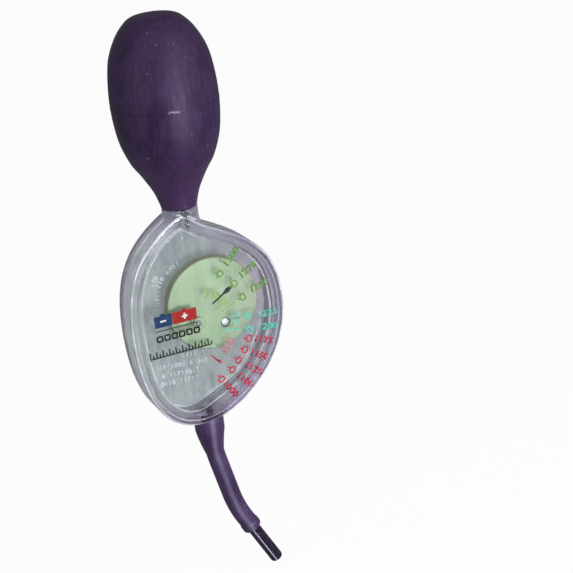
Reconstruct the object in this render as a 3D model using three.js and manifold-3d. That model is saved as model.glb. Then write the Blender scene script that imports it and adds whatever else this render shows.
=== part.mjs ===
// Battery hydrometer: a clear flat case between a rubber squeeze bulb and a bent rubber pick-up
// tube, with an off-centre round float that swings in the case and points at a printed scale.
// Millimetres. The pivot axis meets the flat back of the case at the origin, +Z points up to the
// bulb and -Y is the front that is read. Depth is counted from the back towards the front.
import * as THREE from 'three';
import { mergeVertices } from 'three/addons/utils/BufferGeometryUtils.js';
import Module from 'manifold-3d';

const wasm = await Module();
wasm.setup();

// Clear case, measured from the pivot axis
const caseLeft = 30.4;
const caseRight = 38.5;
const caseRise = 48;
const caseDrop = 45.2;
const sideWall = 4.4;
const windowWall = 2;
const backWall = 2.2;
const edgeRound = 1.2;
const rimWidth = 2.6;
const rimHeight = 0.6;

// Weld between the two halves of the case
const weldGap = 0.3;
const tongueInset = 1.7;
const tongueWidth = 1.1;
const tongueHeight = 0.9;
const tongueClearance = 0.3;

// General clearance between neighbours, and how far a cutter runs past what it cuts
const seatGap = 0.3;
const overrun = 2;

// Neck above the crown of the case, and upper spigot, which the bulb is stretched over
const neckRise = 2.3;
const neckFlareWidth = 4.5;
const neckFlareHeight = 7.2;
const neckCollar = 3;
const upperSpigotRadius = 4.9;
const upperSpigotLength = 13;
const upperBore = 5.2;

// Drain ramp over the foot, and lower spigot, which the tube is stretched over
const rampRight = 17;
const rampRightLift = 13.8;
const rampLeft = 3;
const rampLeftLift = 4.6;
const lowerSpigotRadius = 2.7;
const lowerSpigotLength = 9;
const lowerBore = 3;
const socketDepth = 3;
const barbHeight = 0.5;
const barbLength = 3;
const barbGap = 0.7;

// Pivot
const pinDiameter = 2;
const pinSeat = 2;
const pinFit = 0.1;
const pinEndGap = 0.2;
const bossRadius = 2.7;
const bossHeight = 1.2;

// Dial float, turned so that its arrow stands where the photograph shows it. Its edge keeps a room
// to the wide side of the case, and its hub stands proud of both faces.
const eccentricity = 10.1;
const floatRoom = 3.6;
const floatThickness = 4.6;
const floatRound = 0.5;
const arrowTurn = THREE.MathUtils.degToRad(38);
const hubRadius = 3.2;
const hubStep = 1.3;
const hubClearance = 0.3;
const runningClearance = 0.1;
const weightDiameter = 3.8;
const weightFit = 0.3;
const weightOffset = 10.8;
const weightTurn = THREE.MathUtils.degToRad(-103);

// Squeeze bulb
const bulbHeight = 80.5;
const bulbRadius = 22.1;
const bulbWall = 2.2;
const bulbMouthWall = 1.8;
const bulbLip = 0.7;
const bulbThroat = 15;
const flashHeight = 0.3;
const flashWidth = 0.7;

// Pick-up tube and nozzle. The cuff's rim is stepped in where it sits in the case's socket.
const cuffWall = 3;
const cuffRimStep = 0.5;
const cuffStraight = 9;
const cuffLength = 20.5;
const tubeRadius = 4.1;
const tubeBore = 5.8;
const tubeEndBead = 0.3;
const tubeEndBeadLength = 3.5;
const tubeStraight = 9;
const upperBendLength = 16;
const upperBendTurn = THREE.MathUtils.degToRad(12.5);
const middleLength = 18.5;
const lowerBendLength = 14;
const lowerBendTurn = THREE.MathUtils.degToRad(14.5);
const nozzleBore = 2.4;
const nozzleInsert = 6;
const nozzleStop = 1;
const nozzleReach = 22.2;
const nozzleRound = 0.8;

// Facets
const outlineSteps = 18;
const crownSteps = 8;
const edgeSteps = 3;
const flareSteps = 6;
const bulbSteps = 26;
const hollowSteps = 18;
const flashSearchSteps = 200;
const straightSteps = 4;
const bendSteps = 7;
const roundSides = 40;
const smallSides = 24;

// Points of the case outline as shares of its four reaches: two handles and an end for each curve,
// running round from the right shoulder by the flank, the foot, the left flank and the crown
const outlineStartShare = [0.21, 0.88];
const outlineShares = [
  [[0.74, 0.67], [1, 0.53], [1, 0.03]],
  [[1, -0.49], [0.42, -1], [-0.13, -1]],
  [[-0.66, -1], [-1, -0.67], [-1, 0.03]],
  [[-1, 0.57], [-0.71, 0.8], [-0.17, 1]],
  [[-0.03, 1.05], [0.09, 0.93], [0.21, 0.88]],
];

// The bulb's outline above its throat: share of its height, share of its radius
const bulbShares = [
  [0.2, 0.647], [0.26, 0.784], [0.36, 0.918], [0.46, 0.979], [0.57, 1], [0.68, 0.977],
  [0.79, 0.91], [0.88, 0.77], [0.945, 0.598], [0.985, 0.393], [1, 0],
];
const bulbThroatShares = [[0.22, 0.1], [0.5, 0.31], [0.8, 0.647]];
const flashShare = 0.51;

// Depths, from the back wall by the float and its hub to the front rim, and the float's radius
const rearBossFace = backWall + bossHeight;
const hubBack = rearBossFace + hubClearance;
const floatBack = hubBack + hubStep;
const floatFront = floatBack + floatThickness;
const hubFront = floatFront + hubStep;
const frontBossFace = hubFront + hubClearance;
const windowInside = frontBossFace + bossHeight;
const windowOutside = windowInside + windowWall;
const caseDepth = windowOutside + rimHeight;
const middle = caseDepth / 2;
const floatRadius = caseRight - sideWall - floatRoom - eccentricity;

// What is stretched over the spigots and pushed into the tube
const neckTop = caseRise + neckRise;
const bulbThroatRadius = upperSpigotRadius + barbHeight + seatGap;
const bulbMouthRadius = bulbThroatRadius + bulbMouthWall;
const neckRadius = bulbMouthRadius;
const cuffBoreRadius = lowerSpigotRadius + barbHeight + seatGap;
const cuffRadius = cuffBoreRadius + cuffWall;
const nozzleRadius = tubeBore / 2;

// A point of the front view: shares to the right and up count positive
function outlinePoint(across, along) {
  const x = across * (across > 0 ? caseRight : caseLeft);
  const z = along * (along > 0 ? caseRise : caseDrop);
  return new THREE.Vector2(x, z);
}

// The egg-shaped outline of the case as a closed list of points, without its neck
function caseOutline() {
  const points = [];
  let start = outlinePoint(...outlineStartShare);
  outlineShares.forEach((row, index) => {
    const ends = row.map((share) => outlinePoint(...share));
    const curve = new THREE.CubicBezierCurve(start, ...ends);
    const steps = index === outlineShares.length - 1 ? crownSteps : outlineSteps;
    points.push(...curve.getPoints(steps).slice(1));
    start = ends[2];
  });
  return points;
}

const outline = caseOutline();

// The outline moved inwards by one distance, each point at right angles to the run of its two
// neighbours. The points go round clockwise.
function inset(points, distance) {
  const count = points.length;
  return points.map((point, index) => {
    const before = points[(index + count - 1) % count];
    const after = points[(index + 1) % count];
    const run = after.clone().sub(before).normalize();
    return new THREE.Vector2(point.x + run.y * distance, point.y - run.x * distance);
  });
}

// A closed three.js geometry as a solid that can be joined and cut
function solid(geometry) {
  const bare = geometry.clone();
  bare.deleteAttribute('normal');
  bare.deleteAttribute('uv');
  const merged = mergeVertices(bare);
  return new wasm.Manifold(new wasm.Mesh({
    numProp: 3,
    vertProperties: new Float32Array(merged.attributes.position.array),
    triVerts: new Uint32Array(merged.index.array),
  }));
}

function geometryOf(body) {
  const mesh = body.getMesh();
  const geometry = new THREE.BufferGeometry();
  geometry.setAttribute('position', new THREE.BufferAttribute(mesh.vertProperties, 3));
  geometry.setIndex(new THREE.BufferAttribute(mesh.triVerts, 1));
  geometry.computeVertexNormals();
  return geometry;
}

// A flat plate of an outline in the front view, between two depths, its edges rounded if asked
function plate(points, from, to, round = 0) {
  const geometry = new THREE.ExtrudeGeometry(new THREE.Shape(points), {
    depth: to - from - 2 * round,
    bevelEnabled: round > 0,
    bevelThickness: round,
    bevelSize: round,
    bevelOffset: -round,
    bevelSegments: edgeSteps,
  });
  geometry.translate(0, 0, from + round);
  geometry.rotateX(Math.PI / 2);
  return solid(geometry);
}

// A solid of revolution about an upright axis through the middle of the case
function upright(profile, sides = roundSides) {
  const points = profile.map(([radius, height]) => new THREE.Vector2(radius, height));
  const geometry = new THREE.LatheGeometry(points, sides);
  geometry.rotateX(Math.PI / 2);
  geometry.translate(0, -middle, 0);
  return solid(geometry);
}

// A solid of revolution about the pivot axis or a line parallel to it, from its profile in depth
function across(profile, x = 0, z = 0, sides = roundSides) {
  const points = profile.map(([radius, depth]) => new THREE.Vector2(radius, -depth)).reverse();
  const geometry = new THREE.LatheGeometry(points, sides);
  geometry.translate(x, 0, z);
  return solid(geometry);
}

// A straight round bar between two depths
function bar(radius, from, to, x = 0, z = 0, sides = roundSides) {
  return across([[0, from], [radius, from], [radius, to], [0, to]], x, z, sides);
}

function block(xFrom, xTo, depthFrom, depthTo, zFrom, zTo) {
  const geometry = new THREE.BoxGeometry(xTo - xFrom, depthTo - depthFrom, zTo - zFrom);
  geometry.translate((xFrom + xTo) / 2, -(depthFrom + depthTo) / 2, (zFrom + zTo) / 2);
  return solid(geometry);
}

// The slab of the case's full width and height between two depths
function slab(from, to) {
  const low = -caseDrop - lowerSpigotLength - overrun;
  const high = neckTop + upperSpigotLength + overrun;
  return block(-caseLeft - overrun, caseRight + overrun, from, to, low, high);
}

// Saw-tooth barbs of a spigot: from its root at one height towards its free end
function spigotProfile(radius, root, length, way) {
  const barb = radius + barbHeight;
  const tip = root + way * length;
  const firstBarb = tip - way * barbLength;
  const secondBarb = firstBarb - way * (barbGap + barbLength);
  return [
    [radius, root],
    [radius, secondBarb],
    [barb, secondBarb],
    [radius, firstBarb - way * barbGap],
    [radius, firstBarb],
    [barb, firstBarb],
    [radius - barbHeight, tip],
    [0, tip],
  ];
}

// Neck with its hollow flare, collar and upper spigot
function neck() {
  const collarFoot = neckTop - neckCollar;
  const flareFoot = collarFoot - neckFlareHeight;
  const flare = new THREE.QuadraticBezierCurve(
    new THREE.Vector2(neckRadius + neckFlareWidth, flareFoot),
    new THREE.Vector2(neckRadius, flareFoot),
    new THREE.Vector2(neckRadius, collarFoot),
  );
  const side = flare.getPoints(flareSteps).map((point) => [point.x, point.y]);
  const collar = upright([[0, flareFoot], ...side, [neckRadius, neckTop], [0, neckTop]]);
  const root = neckTop - neckCollar;
  const spigot = upright([
    [0, root],
    ...spigotProfile(upperSpigotRadius, root, upperSpigotLength + neckCollar, 1),
  ]);
  return collar.intersect(slab(0, caseDepth)).add(spigot);
}

function lowerSpigot() {
  const root = -caseDrop + socketDepth + overrun;
  const length = lowerSpigotLength + socketDepth + overrun;
  const profile = spigotProfile(lowerSpigotRadius, root, length, -1);
  return upright([[0, root], ...profile].reverse(), smallSides);
}

// The ring-shaped pocket round the lower spigot that takes the rim of the tube's cuff
function cuffSocket() {
  const top = -caseDrop + socketDepth;
  const radius = cuffRadius - cuffRimStep + seatGap;
  const low = -caseDrop - overrun;
  return upright([
    [lowerSpigotRadius, low], [radius, low], [radius, top], [lowerSpigotRadius, top],
    [lowerSpigotRadius, low],
  ], smallSides);
}

// The float chamber: the outline inside its wall, cut straight along the drain ramp at the foot
function chamber() {
  const room = plate(inset(outline, sideWall), backWall, windowInside);
  const slope = (rampRightLift - rampLeftLift) / (rampRight + rampLeft);
  const belowRamp = [
    new THREE.Vector2(-rampLeft, rampLeftLift - caseDrop),
    new THREE.Vector2(-rampLeft, -caseDrop),
    new THREE.Vector2(caseRight, -caseDrop),
    new THREE.Vector2(caseRight, rampRightLift - caseDrop + slope * (caseRight - rampRight)),
  ];
  return room.subtract(plate(belowRamp, 0, caseDepth));
}

function bores() {
  const upperEnd = neckTop + upperSpigotLength + overrun;
  const lowerEnd = -caseDrop - lowerSpigotLength - overrun;
  const upperStart = caseRise - sideWall - overrun;
  const lowerStart = rampLeftLift - caseDrop + 2 * overrun;
  const upper = upright(
    [[0, upperStart], [upperBore / 2, upperStart], [upperBore / 2, upperEnd], [0, upperEnd]],
  );
  const lower = upright(
    [[0, lowerEnd], [lowerBore / 2, lowerEnd], [lowerBore / 2, lowerStart], [0, lowerStart]],
    smallSides,
  );
  return upper.add(lower);
}

// A closed ring that follows the outline between two insets and two depths
function outlineRing(outer, inner, from, to) {
  const hole = plate(inset(outline, inner), from - overrun, to + overrun);
  return plate(inset(outline, outer), from, to).subtract(hole);
}

// The whole case before it is split, with the recessed window
function caseBlank() {
  const recess = plate(inset(outline, rimWidth), windowOutside, caseDepth + overrun);
  return plate(outline, 0, caseDepth, edgeRound).add(neck()).add(lowerSpigot()).subtract(recess);
}

const hollows = chamber().add(bores()).add(cuffSocket());

function boss(face, height, way) {
  return bar(bossRadius, Math.min(face, face + way * height), Math.max(face, face + way * height));
}

// A blind hole for one end of the pivot pin, from the boss's face into the wall behind it
function pinHole(face, way) {
  const end = face + way * pinSeat;
  const mouth = face - way * overrun;
  return bar(pinDiameter / 2 + pinFit, Math.min(end, mouth), Math.max(end, mouth), 0, 0, smallSides);
}

function frontShell() {
  const half = caseBlank().intersect(slab(middle + weldGap / 2, caseDepth + overrun));
  const groove = outlineRing(
    tongueInset - tongueClearance,
    tongueInset + tongueWidth + tongueClearance,
    middle - overrun,
    middle + weldGap / 2 + tongueHeight + tongueClearance,
  );
  return half.subtract(groove).subtract(hollows)
    .add(boss(windowInside, bossHeight, -1).add(boss(windowInside, windowWall / 2, 1)))
    .subtract(pinHole(frontBossFace, 1));
}

function rearShell() {
  const face = middle - weldGap / 2;
  const half = caseBlank().intersect(slab(-overrun, face));
  const tongue = outlineRing(
    tongueInset,
    tongueInset + tongueWidth,
    face - tongueHeight,
    middle + weldGap / 2 + tongueHeight,
  );
  return half.add(tongue).subtract(hollows)
    .add(boss(backWall, bossHeight, 1).add(boss(backWall, backWall / 2, -1)))
    .subtract(pinHole(rearBossFace, -1));
}

function pivotPin() {
  const from = rearBossFace - pinSeat + pinEndGap;
  const to = frontBossFace + pinSeat - pinEndGap;
  return bar(pinDiameter / 2, from, to, 0, 0, smallSides);
}

// The float lies with its arrow along +X here and is turned as a group
const weightX = eccentricity + weightOffset * Math.cos(weightTurn);
const weightZ = weightOffset * Math.sin(weightTurn);

function dialFloat() {
  const disc = across([
    [0, floatBack],
    [floatRadius - floatRound, floatBack],
    [floatRadius, floatBack + floatRound],
    [floatRadius, floatFront - floatRound],
    [floatRadius - floatRound, floatFront],
    [0, floatFront],
  ], eccentricity, 0, 2 * roundSides);
  const hub = bar(hubRadius, hubBack, hubFront);
  const pinBore = bar(pinDiameter / 2 + runningClearance, 0, caseDepth, 0, 0, smallSides);
  const weightHole = bar(
    weightDiameter / 2 + weightFit, 0, caseDepth, weightX, weightZ, smallSides,
  );
  return disc.add(hub).subtract(pinBore).subtract(weightHole);
}

function floatWeight() {
  return bar(weightDiameter / 2, floatBack, floatFront, weightX, weightZ, smallSides);
}

// A skin through round stations along a route; each station has a place, a heading in the front
// view counted from straight up, and a radius. Both ends are closed.
function loft(stations, sides) {
  const positions = [];
  const triangles = [];
  const place = (point) => positions.push(point.x, point.y, point.z) / 3 - 1;
  const sideways = new THREE.Vector3(0, -1, 0);
  const rings = stations.map(({ centre, heading, radius }) => {
    const along = new THREE.Vector3(Math.sin(heading), 0, Math.cos(heading));
    const outwards = along.clone().cross(sideways);
    return Array.from({ length: sides }, (_, side) => {
      const angle = (side / sides) * 2 * Math.PI;
      return place(centre.clone()
        .addScaledVector(sideways, radius * Math.cos(angle))
        .addScaledVector(outwards, radius * Math.sin(angle)));
    });
  });
  const foot = place(stations[0].centre);
  const head = place(stations[stations.length - 1].centre);
  for (let side = 0; side < sides; side += 1) {
    const next = (side + 1) % sides;
    for (let row = 0; row + 1 < rings.length; row += 1) {
      const lower = rings[row];
      const upper = rings[row + 1];
      triangles.push(lower[side], lower[next], upper[next]);
      triangles.push(lower[side], upper[next], upper[side]);
    }
    triangles.push(foot, rings[0][next], rings[0][side]);
    triangles.push(head, rings[rings.length - 1][side], rings[rings.length - 1][next]);
  }
  const geometry = new THREE.BufferGeometry();
  geometry.setAttribute('position', new THREE.Float32BufferAttribute(positions, 3));
  geometry.setIndex(triangles);
  return solid(geometry);
}

// The bulb's outer radius at its heights, from the mouth's rounded lip to the flat crown
function bulbOutline() {
  const throat = bulbThroatShares.map(([height, swell]) => new THREE.Vector2(
    bulbMouthRadius + swell * (bulbShares[0][1] * bulbRadius - bulbMouthRadius),
    height * bulbThroat,
  ));
  const body = bulbShares.map(([height, radius]) => new THREE.Vector2(
    radius * bulbRadius, height * bulbHeight,
  ));
  const lip = new THREE.Vector2(bulbMouthRadius, bulbLip);
  return new THREE.SplineCurve([lip, ...throat, ...body]);
}

// The mould's parting line: a thin bead round the bulb
function bulbFlash(curve) {
  const height = flashShare * bulbHeight;
  const radius = curve.getPoints(flashSearchSteps).reduce(
    (best, point) => (Math.abs(point.y - height) < Math.abs(best.y - height) ? point : best),
  ).x;
  const root = radius - flashWidth;
  return [[root, height - flashWidth], [radius + flashHeight, height], [root, height + flashWidth]];
}

function squeezeBulb() {
  const seat = neckTop + seatGap;
  const curve = bulbOutline();
  const outside = curve.getPoints(bulbSteps).map((point) => [Math.max(point.x, 0), point.y]);
  outside[outside.length - 1][0] = 0;
  const lipRadius = bulbMouthRadius - bulbLip;
  const raised = (rows) => rows.map(([radius, height]) => [radius, height + seat]);
  const skin = upright(raised([[0, 0], [lipRadius, 0], ...outside]));
  const bead = bulbFlash(curve);
  const throatTop = upperSpigotLength + seatGap;
  const hollow = curve.getPoints(hollowSteps)
    .map((point) => [point.x - bulbWall, point.y * (1 - bulbWall / bulbHeight)])
    .filter(([radius, height]) => radius > 0 && height > throatTop + bulbWall);
  const cavity = upright(raised([
    [0, -overrun],
    [bulbThroatRadius, -overrun],
    [bulbThroatRadius, throatTop],
    ...hollow,
    [0, bulbHeight - bulbWall],
  ]));
  return skin.add(upright(raised([...bead, bead[0]]))).subtract(cavity);
}

// The tube's route in the front view: straight, bend, straight, bend, straight
function routeStations() {
  const top = -caseDrop + socketDepth - seatGap;
  const parts = [
    [tubeStraight, 0, straightSteps],
    [upperBendLength, upperBendTurn, bendSteps],
    [middleLength, 0, straightSteps],
    [lowerBendLength, lowerBendTurn, bendSteps],
    [nozzleInsert + nozzleStop, 0, straightSteps],
  ];
  const stations = [{ x: 0, z: top, heading: 0, reach: 0 }];
  parts.forEach(([length, bend, steps]) => {
    for (let step = 0; step < steps; step += 1) {
      const last = stations[stations.length - 1];
      const stride = length / steps;
      const heading = last.heading + bend / steps;
      const mean = (last.heading + heading) / 2;
      stations.push({
        x: last.x + stride * Math.sin(mean),
        z: last.z - stride * Math.cos(mean),
        heading,
        reach: last.reach + stride,
      });
    }
  });
  return stations;
}

const route = routeStations();
const routeEnd = route[route.length - 1];

function onRoute(station, radius) {
  return {
    centre: new THREE.Vector3(station.x, -middle, station.z),
    heading: Math.PI - station.heading,
    radius,
  };
}

// A station on the straight line through the route's end, a distance before or past it
function pastEnd(distance, radius) {
  const x = routeEnd.x + distance * Math.sin(routeEnd.heading);
  const z = routeEnd.z - distance * Math.cos(routeEnd.heading);
  return onRoute({ x, z, heading: routeEnd.heading }, radius);
}

// The cuff tapers into the tube, and a low bead closes the tube's lower end
function tubeOutside(reach) {
  const share = (cuffLength - reach) / (cuffLength - cuffStraight);
  const taper = THREE.MathUtils.clamp(share, 0, 1);
  const step = reach < socketDepth ? cuffRimStep : 0;
  const bead = routeEnd.reach - reach < tubeEndBeadLength ? tubeEndBead : 0;
  return tubeRadius + (cuffRadius - tubeRadius) * taper - step + bead;
}

function pickupTube() {
  const skin = loft(route.map((station) => onRoute(station, tubeOutside(station.reach))), smallSides);
  const bore = loft([
    onRoute({ x: 0, z: route[0].z + overrun, heading: 0 }, tubeBore / 2),
    ...route.map((station) => onRoute(station, tubeBore / 2)),
    pastEnd(overrun, tubeBore / 2),
  ], smallSides);
  const spigotEnd = -caseDrop - lowerSpigotLength - seatGap;
  const cuffBore = upright([
    [0, spigotEnd],
    [cuffBoreRadius, spigotEnd],
    [cuffBoreRadius, route[0].z + overrun],
    [0, route[0].z + overrun],
  ], smallSides);
  const nozzleRoom = loft([
    pastEnd(-nozzleInsert - seatGap, nozzleRadius + seatGap),
    pastEnd(overrun, nozzleRadius + seatGap),
  ], smallSides);
  return skin.subtract(bore).subtract(cuffBore).subtract(nozzleRoom);
}

function nozzleTip() {
  const skin = loft([
    pastEnd(-nozzleInsert, nozzleRadius - nozzleRound / 2),
    pastEnd(-nozzleInsert + nozzleRound, nozzleRadius),
    pastEnd(nozzleReach - nozzleRound, nozzleRadius),
    pastEnd(nozzleReach - nozzleRound / 3, nozzleRadius - nozzleRound / 3),
    pastEnd(nozzleReach, nozzleRadius - nozzleRound),
  ], smallSides);
  const bore = loft([
    pastEnd(-nozzleInsert - overrun, nozzleBore / 2),
    pastEnd(nozzleReach + overrun, nozzleBore / 2),
  ], smallSides);
  return skin.subtract(bore);
}

// Finishes
const rubber = new THREE.MeshStandardMaterial({ color: 0x3c2a44, roughness: 0.75, metalness: 0 });
const clear = new THREE.MeshStandardMaterial({
  color: 0xb9b4c6, roughness: 0.12, metalness: 0, transparent: true, opacity: 0.35,
});
const green = new THREE.MeshStandardMaterial({ color: 0xb2ccb2, roughness: 0.45, metalness: 0 });
const steel = new THREE.MeshStandardMaterial({ color: 0xd8dade, roughness: 0.25, metalness: 1 });
const hardPlastic = new THREE.MeshStandardMaterial({
  color: 0x1c1420, roughness: 0.2, metalness: 0,
});

function piece(name, body, material) {
  const mesh = new THREE.Mesh(geometryOf(body), material);
  mesh.name = name;
  return mesh;
}

const hydrometer = new THREE.Group();
hydrometer.add(piece('front_shell', frontShell(), clear));
hydrometer.add(piece('rear_shell', rearShell(), clear));
hydrometer.add(piece('pivot_pin', pivotPin(), steel));
hydrometer.add(piece('squeeze_bulb', squeezeBulb(), rubber));
hydrometer.add(piece('pickup_tube', pickupTube(), rubber));
hydrometer.add(piece('nozzle_tip', nozzleTip(), hardPlastic));

const swinging = new THREE.Group();
swinging.rotation.y = -arrowTurn;
swinging.add(piece('dial_float', dialFloat(), green));
swinging.add(piece('float_weight', floatWeight(), steel));
hydrometer.add(swinging);

export default hydrometer;
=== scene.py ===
import math

import bmesh
import bpy
import numpy as np
from mathutils import Matrix, Quaternion, Vector


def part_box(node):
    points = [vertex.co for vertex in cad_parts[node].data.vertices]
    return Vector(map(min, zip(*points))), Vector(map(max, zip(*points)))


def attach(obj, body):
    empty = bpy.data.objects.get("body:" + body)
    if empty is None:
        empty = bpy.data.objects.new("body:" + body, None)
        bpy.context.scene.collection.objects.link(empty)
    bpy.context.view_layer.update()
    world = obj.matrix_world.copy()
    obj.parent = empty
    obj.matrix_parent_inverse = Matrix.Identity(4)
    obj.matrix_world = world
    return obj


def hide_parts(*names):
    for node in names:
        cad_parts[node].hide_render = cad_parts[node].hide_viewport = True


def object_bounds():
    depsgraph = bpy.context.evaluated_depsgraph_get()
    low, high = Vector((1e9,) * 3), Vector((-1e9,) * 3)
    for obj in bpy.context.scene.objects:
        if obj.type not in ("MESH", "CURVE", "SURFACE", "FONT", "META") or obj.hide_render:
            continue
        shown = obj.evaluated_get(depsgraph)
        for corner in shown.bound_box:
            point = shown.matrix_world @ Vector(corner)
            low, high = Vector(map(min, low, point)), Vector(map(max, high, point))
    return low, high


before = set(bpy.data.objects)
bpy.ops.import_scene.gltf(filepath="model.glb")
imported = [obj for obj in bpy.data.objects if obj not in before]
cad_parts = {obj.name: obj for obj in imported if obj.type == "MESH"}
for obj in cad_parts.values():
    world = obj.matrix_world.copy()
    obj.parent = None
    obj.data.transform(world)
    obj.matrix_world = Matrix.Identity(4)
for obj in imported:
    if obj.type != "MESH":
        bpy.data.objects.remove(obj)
cad_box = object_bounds()
mm = 0.001

# Camera
# The tool was photographed through a long lens, from its left and from a little above, and it
# leans to the left in the picture. The camera looks past the case, so that it needs no shift.
look_at = Vector((43.56, -7.5, 4.08)) * mm
camera_azimuth = math.radians(-22.38)
camera_elevation = math.radians(20.2)
camera_lean = math.radians(-6.49)
camera_distance = 624.2 * mm
focal_length = 90.14
view_range = (0.02, 50)

towards_camera = Vector((
    math.sin(camera_azimuth) * math.cos(camera_elevation),
    -math.cos(camera_azimuth) * math.cos(camera_elevation),
    math.sin(camera_elevation),
))
camera = bpy.data.objects.new("camera", bpy.data.cameras.new("camera"))
bpy.context.scene.collection.objects.link(camera)
camera.data.lens = focal_length
camera.data.clip_start, camera.data.clip_end = view_range
camera.location = look_at + towards_camera * camera_distance
camera.rotation_mode = "QUATERNION"
upright_view = (-towards_camera).to_track_quat("-Z", "Y")
camera.rotation_quaternion = upright_view @ Quaternion((0, 0, 1), camera_lean)
bpy.context.scene.camera = camera


# Studio
# A plain white table under a soft lamp at the front right and a low one before the bulb, with
# narrow lamps round about that draw the bright lines along clear edges. What the camera sees
# behind the tool is white. What shows through the clear case is a grey table that glows by
# itself, with painted shade on it far to the right and further back.
floor_gap = 0.2 * mm
floor_reach = 3.0
floor_dark = (0.06, 0.06, 0.065, 1)
floor_light = (0.6, 0.61, 0.62, 1)
floor_turn = 0.12
floor_white_share = 0.95
backdrop_shade = (0.42, 0.45, 0.45, 1)
room_light = (0.93, 0.95, 1, 1)
room_strength = 0.24
through_climb = (-0.1, 0.6)
through_strength = (0.3, 0.85)
side_turn = (0.5, 0.85)
side_left = 0.25
backdrop_far = (0.2, 0.26)
# Painted shade on the glowing table seen through the case: darker far to the right and further back
backdrop_side_shade = (0.16, 0.15, 0.2, 1)
backdrop_high_shade = (0.26, 0.265, 0.28, 1)
backdrop_rise = (0.45, 0.5)
backdrop_slant = 0.5
# Each lamp: its place, width and height in metres, and its power in watts
lamps = {
    "high lamp": ((0.42, -0.9, 0.62), 0.9, 0.9, 4.4),
    "low lamp": ((0.11, -0.6, -0.04), 0.14, 0.16, 2.3),
    "left strip": ((-0.95, -0.35, 0.2), 0.05, 0.9, 2.2),
    "right strip": ((0.9, -0.55, 0.1), 0.05, 0.8, 1.2),
    "top strip": ((-0.1, -0.45, 0.95), 0.7, 0.05, 1.0),
}
lamp_colour = (0.95, 0.97, 1)
pure_white = (1, 1, 1, 1)
bpy.context.scene.view_settings.view_transform = "Standard"


def pick(sockets, key):
    """The socket with this number, identifier or name."""
    if isinstance(key, int):
        return sockets[key]
    return next(socket for socket in sockets if key in (socket.identifier, socket.name))


class Signal:
    """One output of a shader node. Sums, products and comparisons of it with numbers or other
    signals add Math nodes, so that a mask reads as its formula."""

    def __init__(self, paint, node, output=0):
        self.paint = paint
        self.node = node
        self.socket = pick(node.outputs, output)

    def out(self, output):
        """Another output of the same node."""
        return Signal(self.paint, self.node, output)

    def maths(self, operation, *others):
        """This signal, and the others after it, through one Math node."""
        values = dict(enumerate((self, *others)))
        return self.paint.node("ShaderNodeMath", {"operation": operation}, values)

    def __add__(self, other):
        return self.maths("ADD", other)

    def __sub__(self, other):
        return self.maths("SUBTRACT", other)

    def __rsub__(self, other):
        return self * -1 + other

    def __mul__(self, other):
        return self.maths("MULTIPLY", other)

    def __gt__(self, other):
        return self.maths("GREATER_THAN", other)

    def __lt__(self, other):
        return self.maths("LESS_THAN", other)

    __radd__ = __add__
    __rmul__ = __mul__


class Paint:
    """The shader of one material or world, to which one method adds nodes of any kind."""

    def __init__(self, owner):
        self.owner = owner
        owner.use_nodes = True
        self.tree = owner.node_tree
        self.tree.nodes.clear()

    def node(self, kind, settings=None, sockets=None):
        """A node of this kind with its settings, such as a Math node's operation, and then the
        values or links of its sockets. Returns its first output."""
        node = self.tree.nodes.new(kind)
        for key, value in (settings or {}).items():
            setattr(node, key, value)
        for key, value in (sockets or {}).items():
            socket = pick(node.inputs, key)
            if isinstance(value, Signal):
                self.tree.links.new(value.socket, socket)
            else:
                socket.default_value = value
        return Signal(self, node, 0) if len(node.outputs) else None


def between(paint, value, low, high, to_low=0.0, to_high=1.0):
    """A value carried smoothly from one range to another, and held at its ends."""
    return paint.node(
        "ShaderNodeMapRange",
        {"interpolation_type": "SMOOTHSTEP"},
        {"Value": value, "From Min": low, "From Max": high, "To Min": to_low, "To Max": to_high},
    )


def mixed(paint, share, first, second):
    """The first colour where the share is 0 and the second where it is 1."""
    return paint.node(
        "ShaderNodeMix",
        {"data_type": "RGBA"},
        {"Factor_Float": share, "A_Color": first, "B_Color": second},
    ).out("Result_Color")


world = bpy.data.worlds.new("studio")
bpy.context.scene.world = world
paint = Paint(world)
rays = paint.node("ShaderNodeLightPath")
ray_way = paint.node("ShaderNodeTexCoord").out("Generated")
ways = paint.node("ShaderNodeSeparateXYZ", {}, {"Vector": ray_way})
sideways = between(paint, ways.out("X").maths("ABSOLUTE"), *side_turn, 1, side_left)
through = between(paint, ways.out("Z"), *through_climb, *through_strength) * sideways
clear_way = rays.out("Is Transmission Ray")
strength = (1 - clear_way) * room_strength + clear_way * through
room = paint.node("ShaderNodeBackground", {}, {"Color": room_light, "Strength": strength})
white = paint.node("ShaderNodeBackground", {}, {"Color": pure_white, "Strength": 1})
sky = paint.node("ShaderNodeMixShader", {}, {0: rays.out("Is Camera Ray"), 1: room, 2: white})
paint.node("ShaderNodeOutputWorld", {}, {"Surface": sky})

floor_mesh = bpy.data.meshes.new("floor")
floor_height = cad_box[0].z - floor_gap
floor_corners = [(-1, -1), (1, -1), (1, 1), (-1, 1)]
floor_mesh.from_pydata(
    [(x * floor_reach, y * floor_reach, floor_height) for x, y in floor_corners],
    [],
    [(0, 1, 2, 3)],
)
floor = bpy.data.objects.new("floor", floor_mesh)
bpy.context.scene.collection.objects.link(floor)
paint = Paint(bpy.data.materials.new("table white"))
rays = paint.node("ShaderNodeLightPath")
place = paint.node("ShaderNodeTexCoord").out("Object")
places = paint.node("ShaderNodeSeparateXYZ", {}, {"Vector": place})
behind = between(paint, places.out("Y"), -floor_turn, floor_turn)
shade = mixed(paint, behind, floor_dark, floor_light)
matt = paint.node("ShaderNodeBsdfDiffuse", {}, {"Color": shade})
far_right = between(paint, places.out("X"), *backdrop_far)
slanted = places.out("X") * backdrop_slant + places.out("Y")
climb = between(paint, slanted, *backdrop_rise)
backdrop = mixed(paint, climb, backdrop_shade, backdrop_high_shade)
backdrop = mixed(paint, far_right, backdrop, backdrop_side_shade)
seen_through = paint.node("ShaderNodeEmission", {}, {"Color": backdrop, "Strength": 1})
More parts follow.
